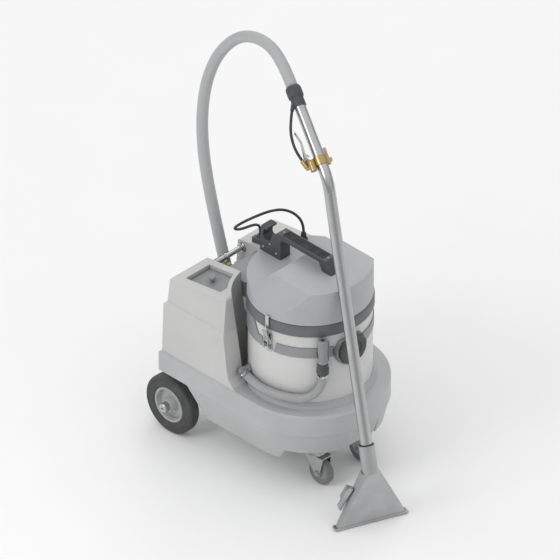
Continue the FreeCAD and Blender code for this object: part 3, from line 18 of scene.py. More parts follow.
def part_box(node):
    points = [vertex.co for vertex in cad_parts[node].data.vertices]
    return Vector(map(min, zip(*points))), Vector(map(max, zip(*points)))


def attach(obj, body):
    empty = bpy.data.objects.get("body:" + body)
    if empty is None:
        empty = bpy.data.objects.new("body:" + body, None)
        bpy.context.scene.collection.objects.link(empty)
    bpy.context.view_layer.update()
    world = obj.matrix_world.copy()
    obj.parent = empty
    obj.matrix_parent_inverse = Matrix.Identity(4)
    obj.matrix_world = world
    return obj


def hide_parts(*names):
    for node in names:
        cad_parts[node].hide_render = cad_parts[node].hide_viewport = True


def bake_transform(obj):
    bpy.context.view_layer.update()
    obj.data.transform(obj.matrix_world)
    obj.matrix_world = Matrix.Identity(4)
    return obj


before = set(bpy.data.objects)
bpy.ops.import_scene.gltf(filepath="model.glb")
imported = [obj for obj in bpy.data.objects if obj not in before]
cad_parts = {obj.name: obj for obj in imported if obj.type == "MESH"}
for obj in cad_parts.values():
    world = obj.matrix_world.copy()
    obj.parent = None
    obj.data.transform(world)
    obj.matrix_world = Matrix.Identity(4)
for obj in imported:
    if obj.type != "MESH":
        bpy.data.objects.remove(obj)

log = logging.getLogger("spot_extractor")

Point = tuple[float, float, float]
Colour = tuple[float, float, float]
Profile = Sequence[tuple[float, float]]
Socket = bpy.types.NodeSocket
Mesh = bmesh.types.BMesh
Thing = bpy.types.Object

MM = 0.001
ON_AXIS = 1e-7          # a turned profile's point nearer than this is on the axis
SAME_PLACE = 1e-6       # corners nearer than this are joined
ROAD_DUST = (0.24, 0.21, 0.17)
SIDES = ("right", "left")
UP = Vector((0, 0, 1))


# ---- shader trees ----
class ShaderTree:
    """A material's node tree, with short ways to add the nodes that the finishes share."""

    samples = 6

    def __init__(self, name: str) -> None:
        """Starts an empty material with one principled shader."""
        self.material = bpy.data.materials.new(name)
        self.material.use_nodes = True
        self.nodes = self.material.node_tree.nodes
        self.links = self.material.node_tree.links
        self.nodes.clear()
        output = self.nodes.new("ShaderNodeOutputMaterial")
        self.shader = self.nodes.new("ShaderNodeBsdfPrincipled")
        self.links.new(self.shader.outputs["BSDF"], output.inputs["Surface"])
        self.place = self.nodes.new("ShaderNodeTexCoord").outputs["Object"]

    def add(self, kind: str, **values: float | Point) -> bpy.types.Node:
        """Adds a node and sets its inputs; a name's underscores stand for spaces."""
        node = self.nodes.new(kind)
        for name, value in values.items():
            node.inputs[name.replace("_", " ")].default_value = value
        return node

    def set(self, **values: float) -> None:
        """Sets the shader's own sockets; a name's underscores stand for spaces."""
        for name, value in values.items():
            self.shader.inputs[name.replace("_", " ")].default_value = value

    def stretched(self, scale: Point) -> Socket:
        """Returns the object's coordinates, scaled differently along each axis."""
        node = self.add("ShaderNodeMapping", Scale=scale)
        self.links.new(self.place, node.inputs["Vector"])
        return node.outputs["Vector"]

    def noise(self, scale: float, detail: float = 3.0, roughness: float = 0.55,
              vector: Socket | None = None) -> Socket:
        """Adds a cloud-like noise, in cells per metre, on the object's or given coordinates."""
        node = self.add("ShaderNodeTexNoise", Scale=scale, Detail=detail, Roughness=roughness)
        self.links.new(vector or self.place, node.inputs["Vector"])
        return node.outputs["Fac"]

    def cells(self, scale: float) -> Socket:
        """Adds a cell pattern, measured to the nearest cell's middle."""
        node = self.add("ShaderNodeTexVoronoi", Scale=scale)
        self.links.new(self.place, node.inputs["Vector"])
        return node.outputs["Distance"]

    def remap(self, value: Socket, low: float, high: float, to_low: float,
              to_high: float) -> Socket:
        """Maps a value's range onto another range, and clamps it there."""
        node = self.add("ShaderNodeMapRange", From_Min=low, From_Max=high, To_Min=to_low,
                        To_Max=to_high)
        self.links.new(value, node.inputs["Value"])
        return node.outputs["Result"]

    def maths(self, kind: str, first: Socket | float,
              second: Socket | float = 0.0) -> Socket:
        """Adds one sum on two values, either of which may be a number."""
        node = self.nodes.new("ShaderNodeMath")
        node.operation = kind
        for socket, value in zip(node.inputs, (first, second)):
            if isinstance(value, (int, float)):
                socket.default_value = value
            else:
                self.links.new(value, socket)
        return node.outputs["Value"]

    def mix(self, factor: Socket, first: Colour | Socket,
            second: Colour | Socket) -> Socket:
        """Blends two colours by a factor."""
        node = self.nodes.new("ShaderNodeMix")
        node.data_type = "RGBA"
        self.links.new(factor, node.inputs[0])
        for socket, value in ((node.inputs[6], first), (node.inputs[7], second)):
            if isinstance(value, tuple):
                socket.default_value = (*value, 1.0)
            else:
                self.links.new(value, socket)
        return node.outputs[2]

    def rounded_edges(self, radius: float) -> Socket:
        """Returns a normal that rounds off sharp edges."""
        node = self.add("ShaderNodeBevel", Radius=radius)
        node.samples = self.samples
        return node.outputs["Normal"]

    def edge_mask(self, rounded: Socket) -> Socket:
        """Returns a value that is 1 on edges and 0 on open faces."""
        geometry = self.nodes.new("ShaderNodeNewGeometry")
        dot = self.nodes.new("ShaderNodeVectorMath")
        dot.operation = "DOT_PRODUCT"
        self.links.new(geometry.outputs["Normal"], dot.inputs[0])
        self.links.new(rounded, dot.inputs[1])
        return self.remap(dot.outputs["Value"], 0.995, 0.80, 0.0, 1.0)

    def crevices(self, reach: float) -> Socket:
        """Returns a value that rises to 1 in seams and inner corners, where it paints shade."""
        node = self.add("ShaderNodeAmbientOcclusion", Distance=reach)
        node.samples = self.samples
        node.only_local = False
        return self.remap(node.outputs["AO"], 0.35, 0.88, 1.0, 0.0)

    def bump(self, height: Socket, depth: float, strength: float,
             normal: Socket | None = None) -> Socket:
        """Raises a height onto the surface, where 1 stands out by the depth, in metres."""
        node = self.add("ShaderNodeBump", Distance=depth, Strength=strength)
        self.links.new(height, node.inputs["Height"])
        if normal is not None:
            self.links.new(normal, node.inputs["Normal"])
        return node.outputs["Normal"]

    def wire(self, socket: str, value: Socket) -> None:
        """Feeds a value that varies over the surface into one of the shader's sockets."""
        self.links.new(value, self.shader.inputs[socket])


# ---- finishes ----
@dataclass(frozen=True)
class Finish:
    """A finish that several pieces share; its material is made once."""

    name: str
    tone: Colour

    def material(self) -> bpy.types.Material:
        """Returns the finish's material, made on first use."""
        title = self.name + "_finish"
        known = bpy.data.materials.get(title)
        if known is not None:
            return known
        tree = ShaderTree(title)
        self.shade(tree)
        return tree.material

    def shade(self, tree: ShaderTree) -> None:
        """Builds the finish into a tree; each kind of finish has its own."""
        raise NotImplementedError

    def paler(self, share: float) -> Colour:
        """Returns the tone moved towards white by a share."""
        return tuple(value + (1.0 - value) * share for value in self.tone)

    def deeper(self, share: float) -> Colour:
        """Returns the tone moved towards black by a share."""
        return tuple(value * (1.0 - share) for value in self.tone)


@dataclass(frozen=True)
class MouldedPlastic(Finish):
    """Moulded polyethylene or ABS: soft mottling, fine grain, rubbed edges that also paint a
    highlight, painted shade in seams and dust low down.
    """

    roughness: float = 0.46
    grain: float = 0.35
    grain_cells: float = 1500.0
    edge: float = 0.0012
    grime: float = 0.0
    grime_top: float = 0.25
    # How far the painted shade in seams and inner corners reaches, in metres.
    seam: float = 0.009

    def shade(self, tree: ShaderTree) -> None:
        """Mottled colour, rubbed edges with a painted highlight, painted shade in seams and
        corners, grain and, where asked for, road dust near the floor.
        """
        rounded = tree.rounded_edges(self.edge)
        mottle = tree.remap(tree.noise(7.0, 4.0), 0.3, 0.7, 0.0, 1.0)
        colour = tree.mix(mottle, self.deeper(0.045), self.paler(0.05))
        scuffs = tree.remap(tree.noise(38.0, 6.0, 0.75), 0.60, 0.72, 0.0, 0.35)
        colour = tree.mix(scuffs, colour, self.deeper(0.12))
        # Rubbed edges, made paler also as a painted highlight that picks out every edge.
        wear = tree.maths("MULTIPLY", tree.edge_mask(rounded), 0.45)
        colour = tree.mix(wear, colour, self.paler(0.35))
        # Painted shade: seams and inner corners are darkened by ambient occlusion, and noise makes
        # it patchy.
        seams = tree.crevices(self.seam)
        painted_seam_shade = tree.maths("MULTIPLY", seams, tree.remap(tree.noise(60.0), 0.3, 0.7, 0.45, 0.8))
        colour = tree.mix(painted_seam_shade, colour, self.deeper(0.62))
        if self.grime > 0:
            height = tree.nodes.new("ShaderNodeSeparateXYZ")
            tree.links.new(tree.place, height.inputs["Vector"])
            low = tree.remap(height.outputs["Z"], self.grime_top, 0.02, 0.0, self.grime)
            patches = tree.remap(tree.noise(26.0, 5.0, 0.7), 0.35, 0.75, 0.2, 1.0)
            colour = tree.mix(tree.maths("MULTIPLY", low, patches), colour, ROAD_DUST)
        tree.wire("Base Color", colour)
        tree.wire("Roughness", tree.remap(tree.noise(55.0, 4.0), 0.3, 0.7, self.roughness - 0.06,
                                          self.roughness + 0.08))
        grain = tree.noise(self.grain_cells, 2.0, 0.5)
        waves = tree.bump(tree.noise(18.0, 2.0), 0.0012, 0.12, rounded)
        tree.wire("Normal", tree.bump(grain, 0.00012, self.grain, waves))
        tree.set(IOR=1.5)


@dataclass(frozen=True)
class Rubber(Finish):
    """Rubber or soft PVC: matt, slightly dusty, with a faint grain."""

    roughness: float = 0.72
    dust: float = 0.25
    gloss: float = 0.0
    rings: float = 0.0
    ring_depth: float = 0.0002

    def shade(self, tree: ShaderTree) -> None:
        """Dusty patches over a matt base; a hose also has faint rings along its length."""
        rounded = tree.rounded_edges(0.0008)
        dust = tree.remap(tree.noise(30.0, 6.0, 0.7), 0.48, 0.75, 0.0, self.dust)
        colour = tree.mix(dust, self.tone, self.paler(0.22))
        rub = tree.maths("MULTIPLY", tree.edge_mask(rounded), 0.35)
        colour = tree.mix(rub, colour, self.paler(0.18))
        tree.wire("Base Color", colour)
        tree.wire("Roughness", tree.remap(dust, 0.0, 1.0, self.roughness, 0.92))
        normal = tree.bump(tree.noise(1800.0, 2.0), 0.00012, 0.35, rounded)
        if self.rings > 0:
            along = tree.nodes.new("ShaderNodeUVMap")
            apart = tree.nodes.new("ShaderNodeSeparateXYZ")
            tree.links.new(along.outputs["UV"], apart.inputs["Vector"])
            turn = tree.maths("MULTIPLY", apart.outputs["X"], self.rings * 2.0 * math.pi)
            wave = tree.maths("SINE", turn)
            normal = tree.bump(wave, self.ring_depth, 0.5, normal)
        tree.wire("Normal", normal)
        if self.gloss > 0:
            tree.set(Coat_Weight=self.gloss, Coat_Roughness=0.3)


@dataclass(frozen=True)
class Metal(Finish):
    """Bare or plated metal with smudges and fine scratches along one axis."""

    roughness: float = 0.25
    smudge: float = 0.12
    scratch: Point = (900.0, 900.0, 40.0)
    scratch_depth: float = 0.000012
    spangle: float = 0.0
    cast: float = 0.0

    def shade(self, tree: ShaderTree) -> None:
        """Metal whose roughness varies with handling, with drawn lines, spangle or a cast skin."""
        rounded = tree.rounded_edges(0.0006)
        patches = tree.remap(tree.noise(22.0, 5.0, 0.65), 0.35, 0.7, 0.0, 1.0)
        colour = tree.mix(patches, self.tone, self.deeper(0.10))
        if self.spangle > 0:
            flakes = tree.remap(tree.cells(260.0), 0.0, 0.9, 0.0, self.spangle)
            colour = tree.mix(flakes, colour, self.paler(0.3))
        wear = tree.maths("MULTIPLY", tree.edge_mask(rounded), 0.3)
        colour = tree.mix(wear, colour, self.paler(0.25))
        tree.wire("Base Color", colour)
        tree.wire("Roughness", tree.remap(patches, 0.0, 1.0, self.roughness,
                                          self.roughness + self.smudge))
        lines = tree.noise(1.0, 3.0, 0.6, tree.stretched(self.scratch))
        normal = tree.bump(lines, self.scratch_depth, 0.5, rounded)
        if self.cast > 0:
            normal = tree.bump(tree.noise(700.0, 3.0), 0.0003, self.cast, normal)
        tree.wire("Normal", normal)
        tree.set(Metallic=1.0)


class Coat(Enum):
    """Every finish on the machine."""

    SHELL = MouldedPlastic("shell", (0.47, 0.485, 0.49), grime=0.30, grime_top=0.22)
    TANK = MouldedPlastic("tank", (0.58, 0.585, 0.575), roughness=0.42)
    DRUM = MouldedPlastic("drum", (0.64, 0.645, 0.635), roughness=0.38, grain=0.2)
    BELT = MouldedPlastic("belt", (0.27, 0.28, 0.285), roughness=0.40, grain=0.2)
    HEAD = MouldedPlastic("head", (0.42, 0.435, 0.45), roughness=0.44)
    RING = MouldedPlastic("ring", (0.11, 0.115, 0.12), roughness=0.42)
    DARK = MouldedPlastic("dark_plastic", (0.045, 0.047, 0.05), roughness=0.42, grain=0.5)
    GREY = MouldedPlastic("grey_plastic", (0.26, 0.27, 0.28), roughness=0.38)
    RIM = MouldedPlastic("rim_plastic", (0.50, 0.51, 0.51), roughness=0.36, grime=0.35,
                         grime_top=0.2)
    RUBBER = Rubber("rubber", (0.028, 0.028, 0.030))
    TYRE = Rubber("tyre", (0.062, 0.063, 0.065), dust=0.22)
    TREAD = Rubber("tread", (0.20, 0.20, 0.205), dust=0.2, roughness=0.6)
    CUFF = Rubber("cuff_rubber", (0.06, 0.062, 0.066), roughness=0.55)
    HOSE = Rubber("hose", (0.42, 0.43, 0.435), roughness=0.42, dust=0.2, gloss=0.25, rings=170.0)
    DRAIN = Rubber("drain_hose", (0.34, 0.35, 0.355), roughness=0.45, dust=0.25, gloss=0.2)
    CORD = Rubber("cord", (0.022, 0.022, 0.024), roughness=0.5)
    STEEL = Metal("steel", (0.50, 0.505, 0.51), roughness=0.20, smudge=0.05)
    FAN = Metal("fan_steel", (0.47, 0.475, 0.48), roughness=0.34, scratch=(60.0, 60.0, 900.0))
    CHROME = Metal("chrome", (0.56, 0.565, 0.57), roughness=0.12, smudge=0.05)
    ZINC = Metal("zinc", (0.48, 0.49, 0.485), roughness=0.34, spangle=0.35)
    BRASS = Metal("brass", (0.47, 0.35, 0.17), roughness=0.26, scratch=(800.0, 800.0, 800.0))
    ALUMINIUM = Metal("aluminium", (0.50, 0.51, 0.52), roughness=0.42, cast=0.5)

    def dress(self, *things: str | Thing) -> None:
        """Gives this finish to CAD nodes, by name, or to pieces."""
        for thing in things:
            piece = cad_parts[thing] if isinstance(thing, str) else thing
            piece.data.materials.clear()
            piece.data.materials.append(self.value.material())


# ---- places ----
def middle(node: str) -> Vector:
    """Returns the middle of a CAD node's box."""
    low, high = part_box(node)
    return (low + high) / 2


def drum_axis() -> Vector:
    """Returns the point on the floor under the drum's axis."""
    centre = middle("recovery_drum")
    return Vector((centre.x, centre.y, 0.0))


def outward(point: Vector) -> Vector:
    """Returns the level line from the drum's axis to a point."""
    return Vector((point.x, point.y, 0)) - drum_axis()


def bearing(radius: float, degrees: float, height: float) -> Vector:
    """Returns a point at a bearing round the drum's axis."""
    angle = math.radians(degrees)
    return drum_axis() + Vector((radius * math.cos(angle), radius * math.sin(angle), height))


def facing(at: Vector, direction: Vector, roll: Vector | None = None) -> Matrix:
    """Returns a place whose Z axis points along a direction, and X roughly along the roll."""
    up = direction.normalized()
    side = roll or (UP if abs(up.z) < 0.9 else Vector((1, 0, 0)))
    x_axis = (side - up * side.dot(up)).normalized()
    y_axis = up.cross(x_axis)
    turn = Matrix((x_axis, y_axis, up)).transposed().to_4x4()
    return Matrix.Translation(at) @ turn


# ---- meshes ----
def linked(name: str, data: bpy.types.ID) -> Thing:
    """Returns a new object in the scene."""
    thing = bpy.data.objects.new(name, data)
    bpy.context.scene.collection.objects.link(thing)
    return thing


def in_mm(*points: tuple[float, float]) -> list[tuple[float, float]]:
    """Returns flat points that are given in millimetres."""
    return [(first * MM, second * MM) for first, second in points]


def moved(x: float, y: float, z: float) -> Matrix:
    """Returns a shift that is given in millimetres."""
    return Matrix.Translation((x * MM, y * MM, z * MM))


def piece(name: str, mesh: Mesh, place: Matrix, coat: Coat, body: str, slot: str,
          crease: float = 35.0) -> Thing:
    """Turns a mesh into a finished piece on a body.

    Args:
        name: the piece's name.
        mesh: its mesh, in its own frame.
        place: where that frame lies.
        coat: its finish.
        body: the CAD body that it rides on.
        slot: not used.
        crease: edges bent by more than this many degrees stay sharp.

    Returns:
        The new object.
    """
    bmesh.ops.transform(mesh, matrix=place, verts=mesh.verts)
    bmesh.ops.recalc_face_normals(mesh, faces=mesh.faces)
    data = bpy.data.meshes.new(name)
    mesh.to_mesh(data)
    mesh.free()
    data.shade_smooth()
    data.set_sharp_from_angle(angle=math.radians(crease))
    thing = linked(name, data)
    coat.dress(thing)
    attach(thing, body)
    return thing


def lathe(profile: Profile, segments: int = 48,
          scallop: Callable[[float, float], float] | None = None) -> Mesh:
    """Turns a closed or open profile about Z.

    Args:
        profile: (radius, height) points from one end to the other.
        segments: number of steps round.
        scallop: change of radius at an angle and height, for knurls and ribs.

    Returns:
        The turned mesh.
    """
    mesh = bmesh.new()
    rings: list[list[bmesh.types.BMVert]] = []
    for radius, height in profile:
        if radius < ON_AXIS:
            rings.append([mesh.verts.new((0, 0, height))])
            continue
        ring = []
        for step in range(segments):
            angle = 2 * math.pi * step / segments
            r = radius + (scallop(angle, height) if scallop else 0.0)
            ring.append(mesh.verts.new((r * math.cos(angle), r * math.sin(angle), height)))
        rings.append(ring)
    for low, high in zip(rings, rings[1:]):
        for step in range(segments):
            after = (step + 1) % segments
            corners = [low[step % len(low)], low[after % len(low)], high[after % len(high)],
                       high[step % len(high)]]
            unique = list(dict.fromkeys(corners))
            if len(unique) > 2:
                mesh.faces.new(unique)
    return mesh


def slab(outline: Profile, depth: float, bevel: float) -> Mesh:
    """Extrudes a flat outline along Z and rounds its edges."""
    mesh = bmesh.new()
    floor = mesh.faces.new([mesh.verts.new((x, y, 0.0)) for x, y in outline])
    raised = bmesh.ops.extrude_face_region(mesh, geom=[floor])
    tops = [item for item in raised["geom"] if isinstance(item, bmesh.types.BMVert)]
    bmesh.ops.translate(mesh, verts=tops, vec=(0, 0, depth))
    bmesh.ops.bevel(mesh, geom=list(mesh.edges), offset=bevel, segments=2, profile=0.6,
                    affect="EDGES", clamp_overlap=True)
    return mesh


def regular(sides: int, radius: float) -> list[tuple[float, float]]:
    """Returns the corners of a regular outline."""
    angles = [2 * math.pi * i / sides for i in range(sides)]
    return [(radius * math.cos(angle), radius * math.sin(angle)) for angle in angles]


def joined(*meshes: Mesh) -> Mesh:
    """Puts several meshes into the first one."""
    whole = meshes[0]
    for other in meshes[1:]:
        data = bpy.data.meshes.new("part")
        other.to_mesh(data)
        other.free()
        whole.from_mesh(data)
        bpy.data.meshes.remove(data)
    return whole


def shifted(mesh: Mesh, by: Matrix) -> Mesh:
    """Moves a whole mesh and returns it."""
    bmesh.ops.transform(mesh, matrix=by, verts=mesh.verts)
    return mesh


# ---- cords ----
@dataclass
class Cord:
    """A hose or cable with both ends on the machine, laid along given points."""

    node: str
    name: str
    points: Sequence[Vector]
    radius: float
    coat: Coat
    body: str
    slot: str
    stiffness: str = "medium"
    lay: str = "hanging"

    def line(self, depth: float) -> bpy.types.Curve:
        """Returns the smooth curve through the points; its radius is the depth."""
        curve = bpy.data.curves.new(self.name, "CURVE")
        curve.dimensions = "3D"
        curve.bevel_depth = depth
        curve.bevel_resolution = 8
        curve.resolution_u = 14
        curve.use_fill_caps = depth > 0
        spline = curve.splines.new("NURBS")
        spline.points.add(len(self.points) - 1)
        for control, point in zip(spline.points, self.points):
            control.co = (*point, 1.0)
        spline.order_u = 3
        spline.use_endpoint_u = True
        return curve

    def centreline(self) -> list[Vector]:
        """Returns points read from the smooth line, close together."""
        bare = linked(self.name + "_line", self.line(0.0))
        bpy.context.view_layer.update()
        graph = bpy.context.evaluated_depsgraph_get()
        data = bpy.data.meshes.new_from_object(bare.evaluated_get(graph))
        path = [vertex.co.copy() for vertex in data.vertices]
        bpy.data.objects.remove(bare)
        bpy.data.meshes.remove(data)
        return path

    def build(self) -> Thing:
        thing = linked(self.name, self.line(self.radius))
        self.dress(thing)
        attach(thing, self.body)
        self.declare(None)
        return thing

    def build_between(self) -> Thing:
        """Lays the cord as a tube swept along its smooth line; it is not attached to a body.
        """
        path = self.centreline()
        data = bpy.data.meshes.new(self.name)
        mesh = swept(path, self.radius)
        mesh.to_mesh(data)
        mesh.free()
        data.shade_smooth()
        thing = linked(self.name, data)
        self.dress(thing)
        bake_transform(thing)
        self.declare(path)
        return thing

    def dress(self, thing: Thing) -> None:
        """Puts the cord in its node's place, with its finish."""
        self.coat.dress(thing)
        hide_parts(self.node)

    def declare(self, path: list[Vector] | None) -> None:
        """Reads the cord's centreline when it is not given; nothing is done with it."""
        line = path or self.centreline()


def swept(path: Sequence[Vector], radius: float, sides: int = 28) -> Mesh:
    """Sweeps a circle along a line, with a texture coordinate along it, and caps its ends."""
    mesh = bmesh.new()
    layer = mesh.loops.layers.uv.new("UVMap")
    total = sum((after - before).length for before, after in zip(path, path[1:]))
    heading = (path[1] - path[0]).normalized()
    side = heading.orthogonal().normalized()
    rings: list[list[bmesh.types.BMVert]] = []
    marks: list[float] = []
    turns = [2 * math.pi * step / sides for step in range(sides)]
    run = 0.0
    for index, point in enumerate(path):
        before = path[max(index - 1, 0)]
        after = path[min(index + 1, len(path) - 1)]
        ahead = (after - before).normalized()
        side = (heading.rotation_difference(ahead) @ side).normalized()
        heading = ahead
        across = heading.cross(side)
        run += (point - before).length
        marks.append(run / total)
        spokes = [side * math.cos(turn) + across * math.sin(turn) for turn in turns]
        rings.append([mesh.verts.new(point + radius * spoke) for spoke in spokes])
    for row, (low, high) in enumerate(zip(rings, rings[1:])):
        for step in range(sides):
            after_step = (step + 1) % sides
            face = mesh.faces.new((low[step], low[after_step], high[after_step], high[step]))
            corners = ((marks[row], step), (marks[row], step + 1), (marks[row + 1], step + 1),
                       (marks[row + 1], step))
            for loop, (along, round_) in zip(face.loops, corners):
                loop[layer].uv = (along, round_ / sides)
    mesh.faces.new(list(reversed(rings[0])))
    mesh.faces.new(rings[-1])
    bmesh.ops.recalc_face_normals(mesh, faces=mesh.faces)
    return mesh


def from_drum(points: Iterable[Point]) -> list[Vector]:
    """Returns points given in millimetres from the drum's axis as places on the machine."""
    origin = drum_axis()
    return [origin + Vector(point) * MM for point in points]


# ---- fasteners ----
def star_screw(radius: float) -> Mesh:
    """Returns a domed screw head with a star-shaped recess, standing on its frame's floor."""
    recess = radius * 0.42
    height = radius * 0.62
    profile = [(0, height * 0.35), (recess, height * 0.35), (recess, height * 0.97),
               (radius * 0.62, height), (radius * 0.90, height * 0.62), (radius, height * 0.2),
               (radius, -MM)]

    def star(angle: float, at: float) -> float:
        """Pulls the recess's wall in and out six times round."""
        return recess * 0.20 * math.cos(6 * angle) if 0 < at < height * 0.98 else 0.0

    mesh = lathe(profile[:3], 36, star)
    return joined(mesh, lathe(profile[2:], 36))


def hex_bolt(radius: float, height: float) -> Mesh:
    """Returns a hexagon head on a washer."""
    rim, thick = radius * 1.35, height * 0.22
    washer = lathe([(0, 0), (rim, 0), (rim, thick), (0, thick)], 30)
    head = slab(regular(6, radius), height, radius * 0.09)
    return joined(washer, shifted(head, Matrix.Translation((0, 0, height * 0.2))))


def rivet(radius: float) -> Mesh:
    """Returns a domed rivet head."""
    steps = [math.radians(angle) for angle in range(0, 91, 15)]
    dome = [(radius * math.sin(a), radius * 0.45 * math.cos(a)) for a in steps]
    return lathe([(0.0, dome[0][1])] + dome[1:] + [(radius, -MM)], 24)


def many(name: str, make: Callable[[], Mesh], places: Iterable[Matrix], coat: Coat, body: str,
         slot: str) -> Thing:
    """Puts copies of one small mesh at several places, as one piece."""
    copies = [shifted(make(), place) for place in places]
    return piece(name, joined(*copies), Matrix.Identity(4), coat, body, slot)


@dataclass
class BandClamp:
    """Worm-drive hose clamp: perforated band, screw housing and slotted hexagon screw."""

    radius: float
    width: float = 9.0

    def build(self, name: str, at: Vector, axis: Vector, toward: Vector, body: str) -> None:
        """Puts the clamp round a hose at a point, with its housing on one side."""
        r, half, side = self.radius, self.width / 2, self.width * 0.62
        band = lathe(in_mm((r, -half), (r + 0.9, -half), (r + 1.2, -half * 0.6),
                           (r + 1.2, half * 0.6), (r + 0.9, half), (r, half)), 40)
        housing = slab(in_mm((-6, -side), (6, -side), (6, side), (-6, side)), 7 * MM, 1.2 * MM)
        housing = shifted(housing, moved(r, 0, 0) @ Matrix.Rotation(math.pi / 2, 4, "Y"))
        across = Matrix.Rotation(-math.pi / 2, 4, "X")
        screw = shifted(hex_bolt(3.8 * MM, 4 * MM), moved(r + 3.6, 5.5, 0) @ across)
        barrel = lathe(in_mm((0, 0), (3, 0), (3, 12), (0, 12)), 20)
        barrel = shifted(barrel, moved(r + 3.6, -7.5, 0) @ across)
        piece(name, joined(band, housing, screw, barrel), facing(at, axis, toward), Coat.CHROME,
              body, "steel")


@dataclass
class Coil:
    """Wire spring round an axis."""

    radius: float
    wire: float
    turns: int
    length: float

    def mesh(self) -> Mesh:
        """Returns the spring, standing along Z from its frame's origin."""
        steps = self.turns * 20
        path = []
        for step in range(steps + 1):
            angle = 2 * math.pi * self.turns * step / steps
            path.append(Vector((self.radius * math.cos(angle), self.radius * math.sin(angle),
                                self.length * step / steps)))
        return swept(path, self.wire, 8)


# ---- wand ----
@dataclass
class Wand:
    """Bent suction wand with its fan head, spray nozzle, valve and trigger."""

    bearing: float = 69.3
    foot: Point = (400.0, -132.0, 0.0)
    bend: Point = (0.0, 325.0, 1107.0)
    top: Point = (0.0, 597.0, 1290.0)
    tube_radius: float = 19.0
    valve: float = 66.0
    inlet_back: float = 18.0
    feed_radius: float = 4.5
    nozzle: tuple[Point, Point] = ((-103.0, 17.0, 62.0), (-62.0, 20.0, 142.0))
    neck: Point = (0.0, 31.5, 273.0)

    def upper(self) -> Vector:
        """Returns the direction of the tube above its bend, in the wand's own frame."""
        return (Vector(self.top) - Vector(self.bend)).normalized()

    def place(self, point: Vector) -> Vector:
        """Returns a point of the wand's own frame, in millimetres, as a place on the machine."""
        turn = Matrix.Rotation(math.radians(self.bearing), 3, "Z")
        return from_drum([tuple(turn @ point + Vector(self.foot))])[0]

    def turned(self, direction: Vector) -> Vector:
        """Returns a direction of the wand's own frame in the machine's."""
        return Matrix.Rotation(math.radians(self.bearing), 3, "Z") @ direction

    def beside(self, along: float, out: float, back: float = 0.0) -> Vector:
        """Returns a point beside the upper tube: along it, out to its left, and under it."""
        up = self.upper()
        normal = Vector((0, -up.z, up.y))
        return Vector(self.bend) + up * along + Vector((-out, 0, 0)) - normal * back

    def feed_route(self) -> list[Vector]:
        """Returns the solution hose's route, from the cuff into the valve's inlet."""
        elbow = self.beside(self.valve - 6, self.tube_radius + 24, self.inlet_back)
        beyond = self.beside(self.valve + 30, self.tube_radius + 34, self.inlet_back)
        ahead = (beyond - elbow).normalized()
        end = elbow + ahead * 30
        length = (Vector(self.top) - Vector(self.bend)).length
        route = [self.beside(length - 76, 30), self.beside(length - 106, 45.5),
                 self.beside(length - 144, 58, 10), self.beside(length - 182, 61, 16),
                 end + ahead * 24, end]
        return [self.place(point) for point in route]

    def build(self) -> None:
        """Dresses the wand's nodes and adds its solution hose."""
        Coat.STEEL.dress("wand_tube", "trigger")
        Coat.FAN.dress("wand_head", "spray_nozzle")
        Coat.BRASS.dress("solution_valve")
        Coat.CUFF.dress("wand_cuff")
        Cord("feed_hose", "solution_line", self.feed_route(), self.feed_radius * MM, Coat.CORD,
             "wand", "cord").build()
        self.add_clamp_bar()
        self.add_nozzle_cover()
        self.add_trigger_spring()
        self.add_neck_seal()

    def add_clamp_bar(self) -> None:
        """Adds the bar on the tube's far side that the valve's band is screwed to."""
        up = self.turned(self.upper())
        out = self.turned(Vector((1, 0, 0)))
        at = self.place(self.beside(self.valve - 17, -self.tube_radius - 3.2))
        bar = slab(in_mm((0, -5), (58, -4), (58, 4), (0, 5)), 7.5 * MM, 1.4 * MM)
        piece("valve_bar", bar, facing(at, out, up), Coat.BRASS, "wand", "brass")
        heads = [facing(at + up * along * MM + out * 7.0 * MM, out, up) for along in (10, 48)]
        many("valve_bar_screws", lambda: star_screw(3.3 * MM), heads, Coat.CHROME, "wand", "chrome")

    def add_nozzle_cover(self) -> None:
        """Adds the housing that runs along the fan's slanted edge over the spray nozzle."""
        low, high = (Vector(end) for end in self.nozzle)
        along = self.turned(high - low)
        back = self.turned(Vector((0.30, 1, 0.05)))
        length = (high - low).length
        outline = in_mm((0, 4), (10, -8), (length - 14, -10), (length, -2), (length, 9), (0, 9))
        cover = slab(outline, 13 * MM, 2.2 * MM)
        piece("nozzle_cover", cover, facing(self.place(low), back, along), Coat.FAN, "wand",
              "steel")

    def add_trigger_spring(self) -> None:
        """Adds the spring that pushes the trigger away from the valve."""
        start = self.place(self.beside(self.valve + 24, self.tube_radius + 12))
        end = self.place(self.beside(self.valve + 32, self.tube_radius + 21))
        coil = Coil(3.2 * MM, 0.6 * MM, 5, (end - start).length)
        piece("trigger_spring", coil.mesh(), facing(start, end - start), Coat.CHROME, "wand",
              "chrome")

    def add_neck_seal(self) -> None:
        """Adds the rubber ring where the tube enters the fan's neck."""
        low = Vector(self.neck)
        along = (Vector(self.bend) - low).normalized()
        r = self.tube_radius
        ring = lathe(in_mm((r, 0), (r + 4.0, 0), (r + 4.2, 1.4), (r + 2.4, 2.8), (r, 3.2)))
        piece("neck_seal", ring, facing(self.place(low + along * 2), self.turned(along)),
              Coat.RUBBER, "wand", "rubber")


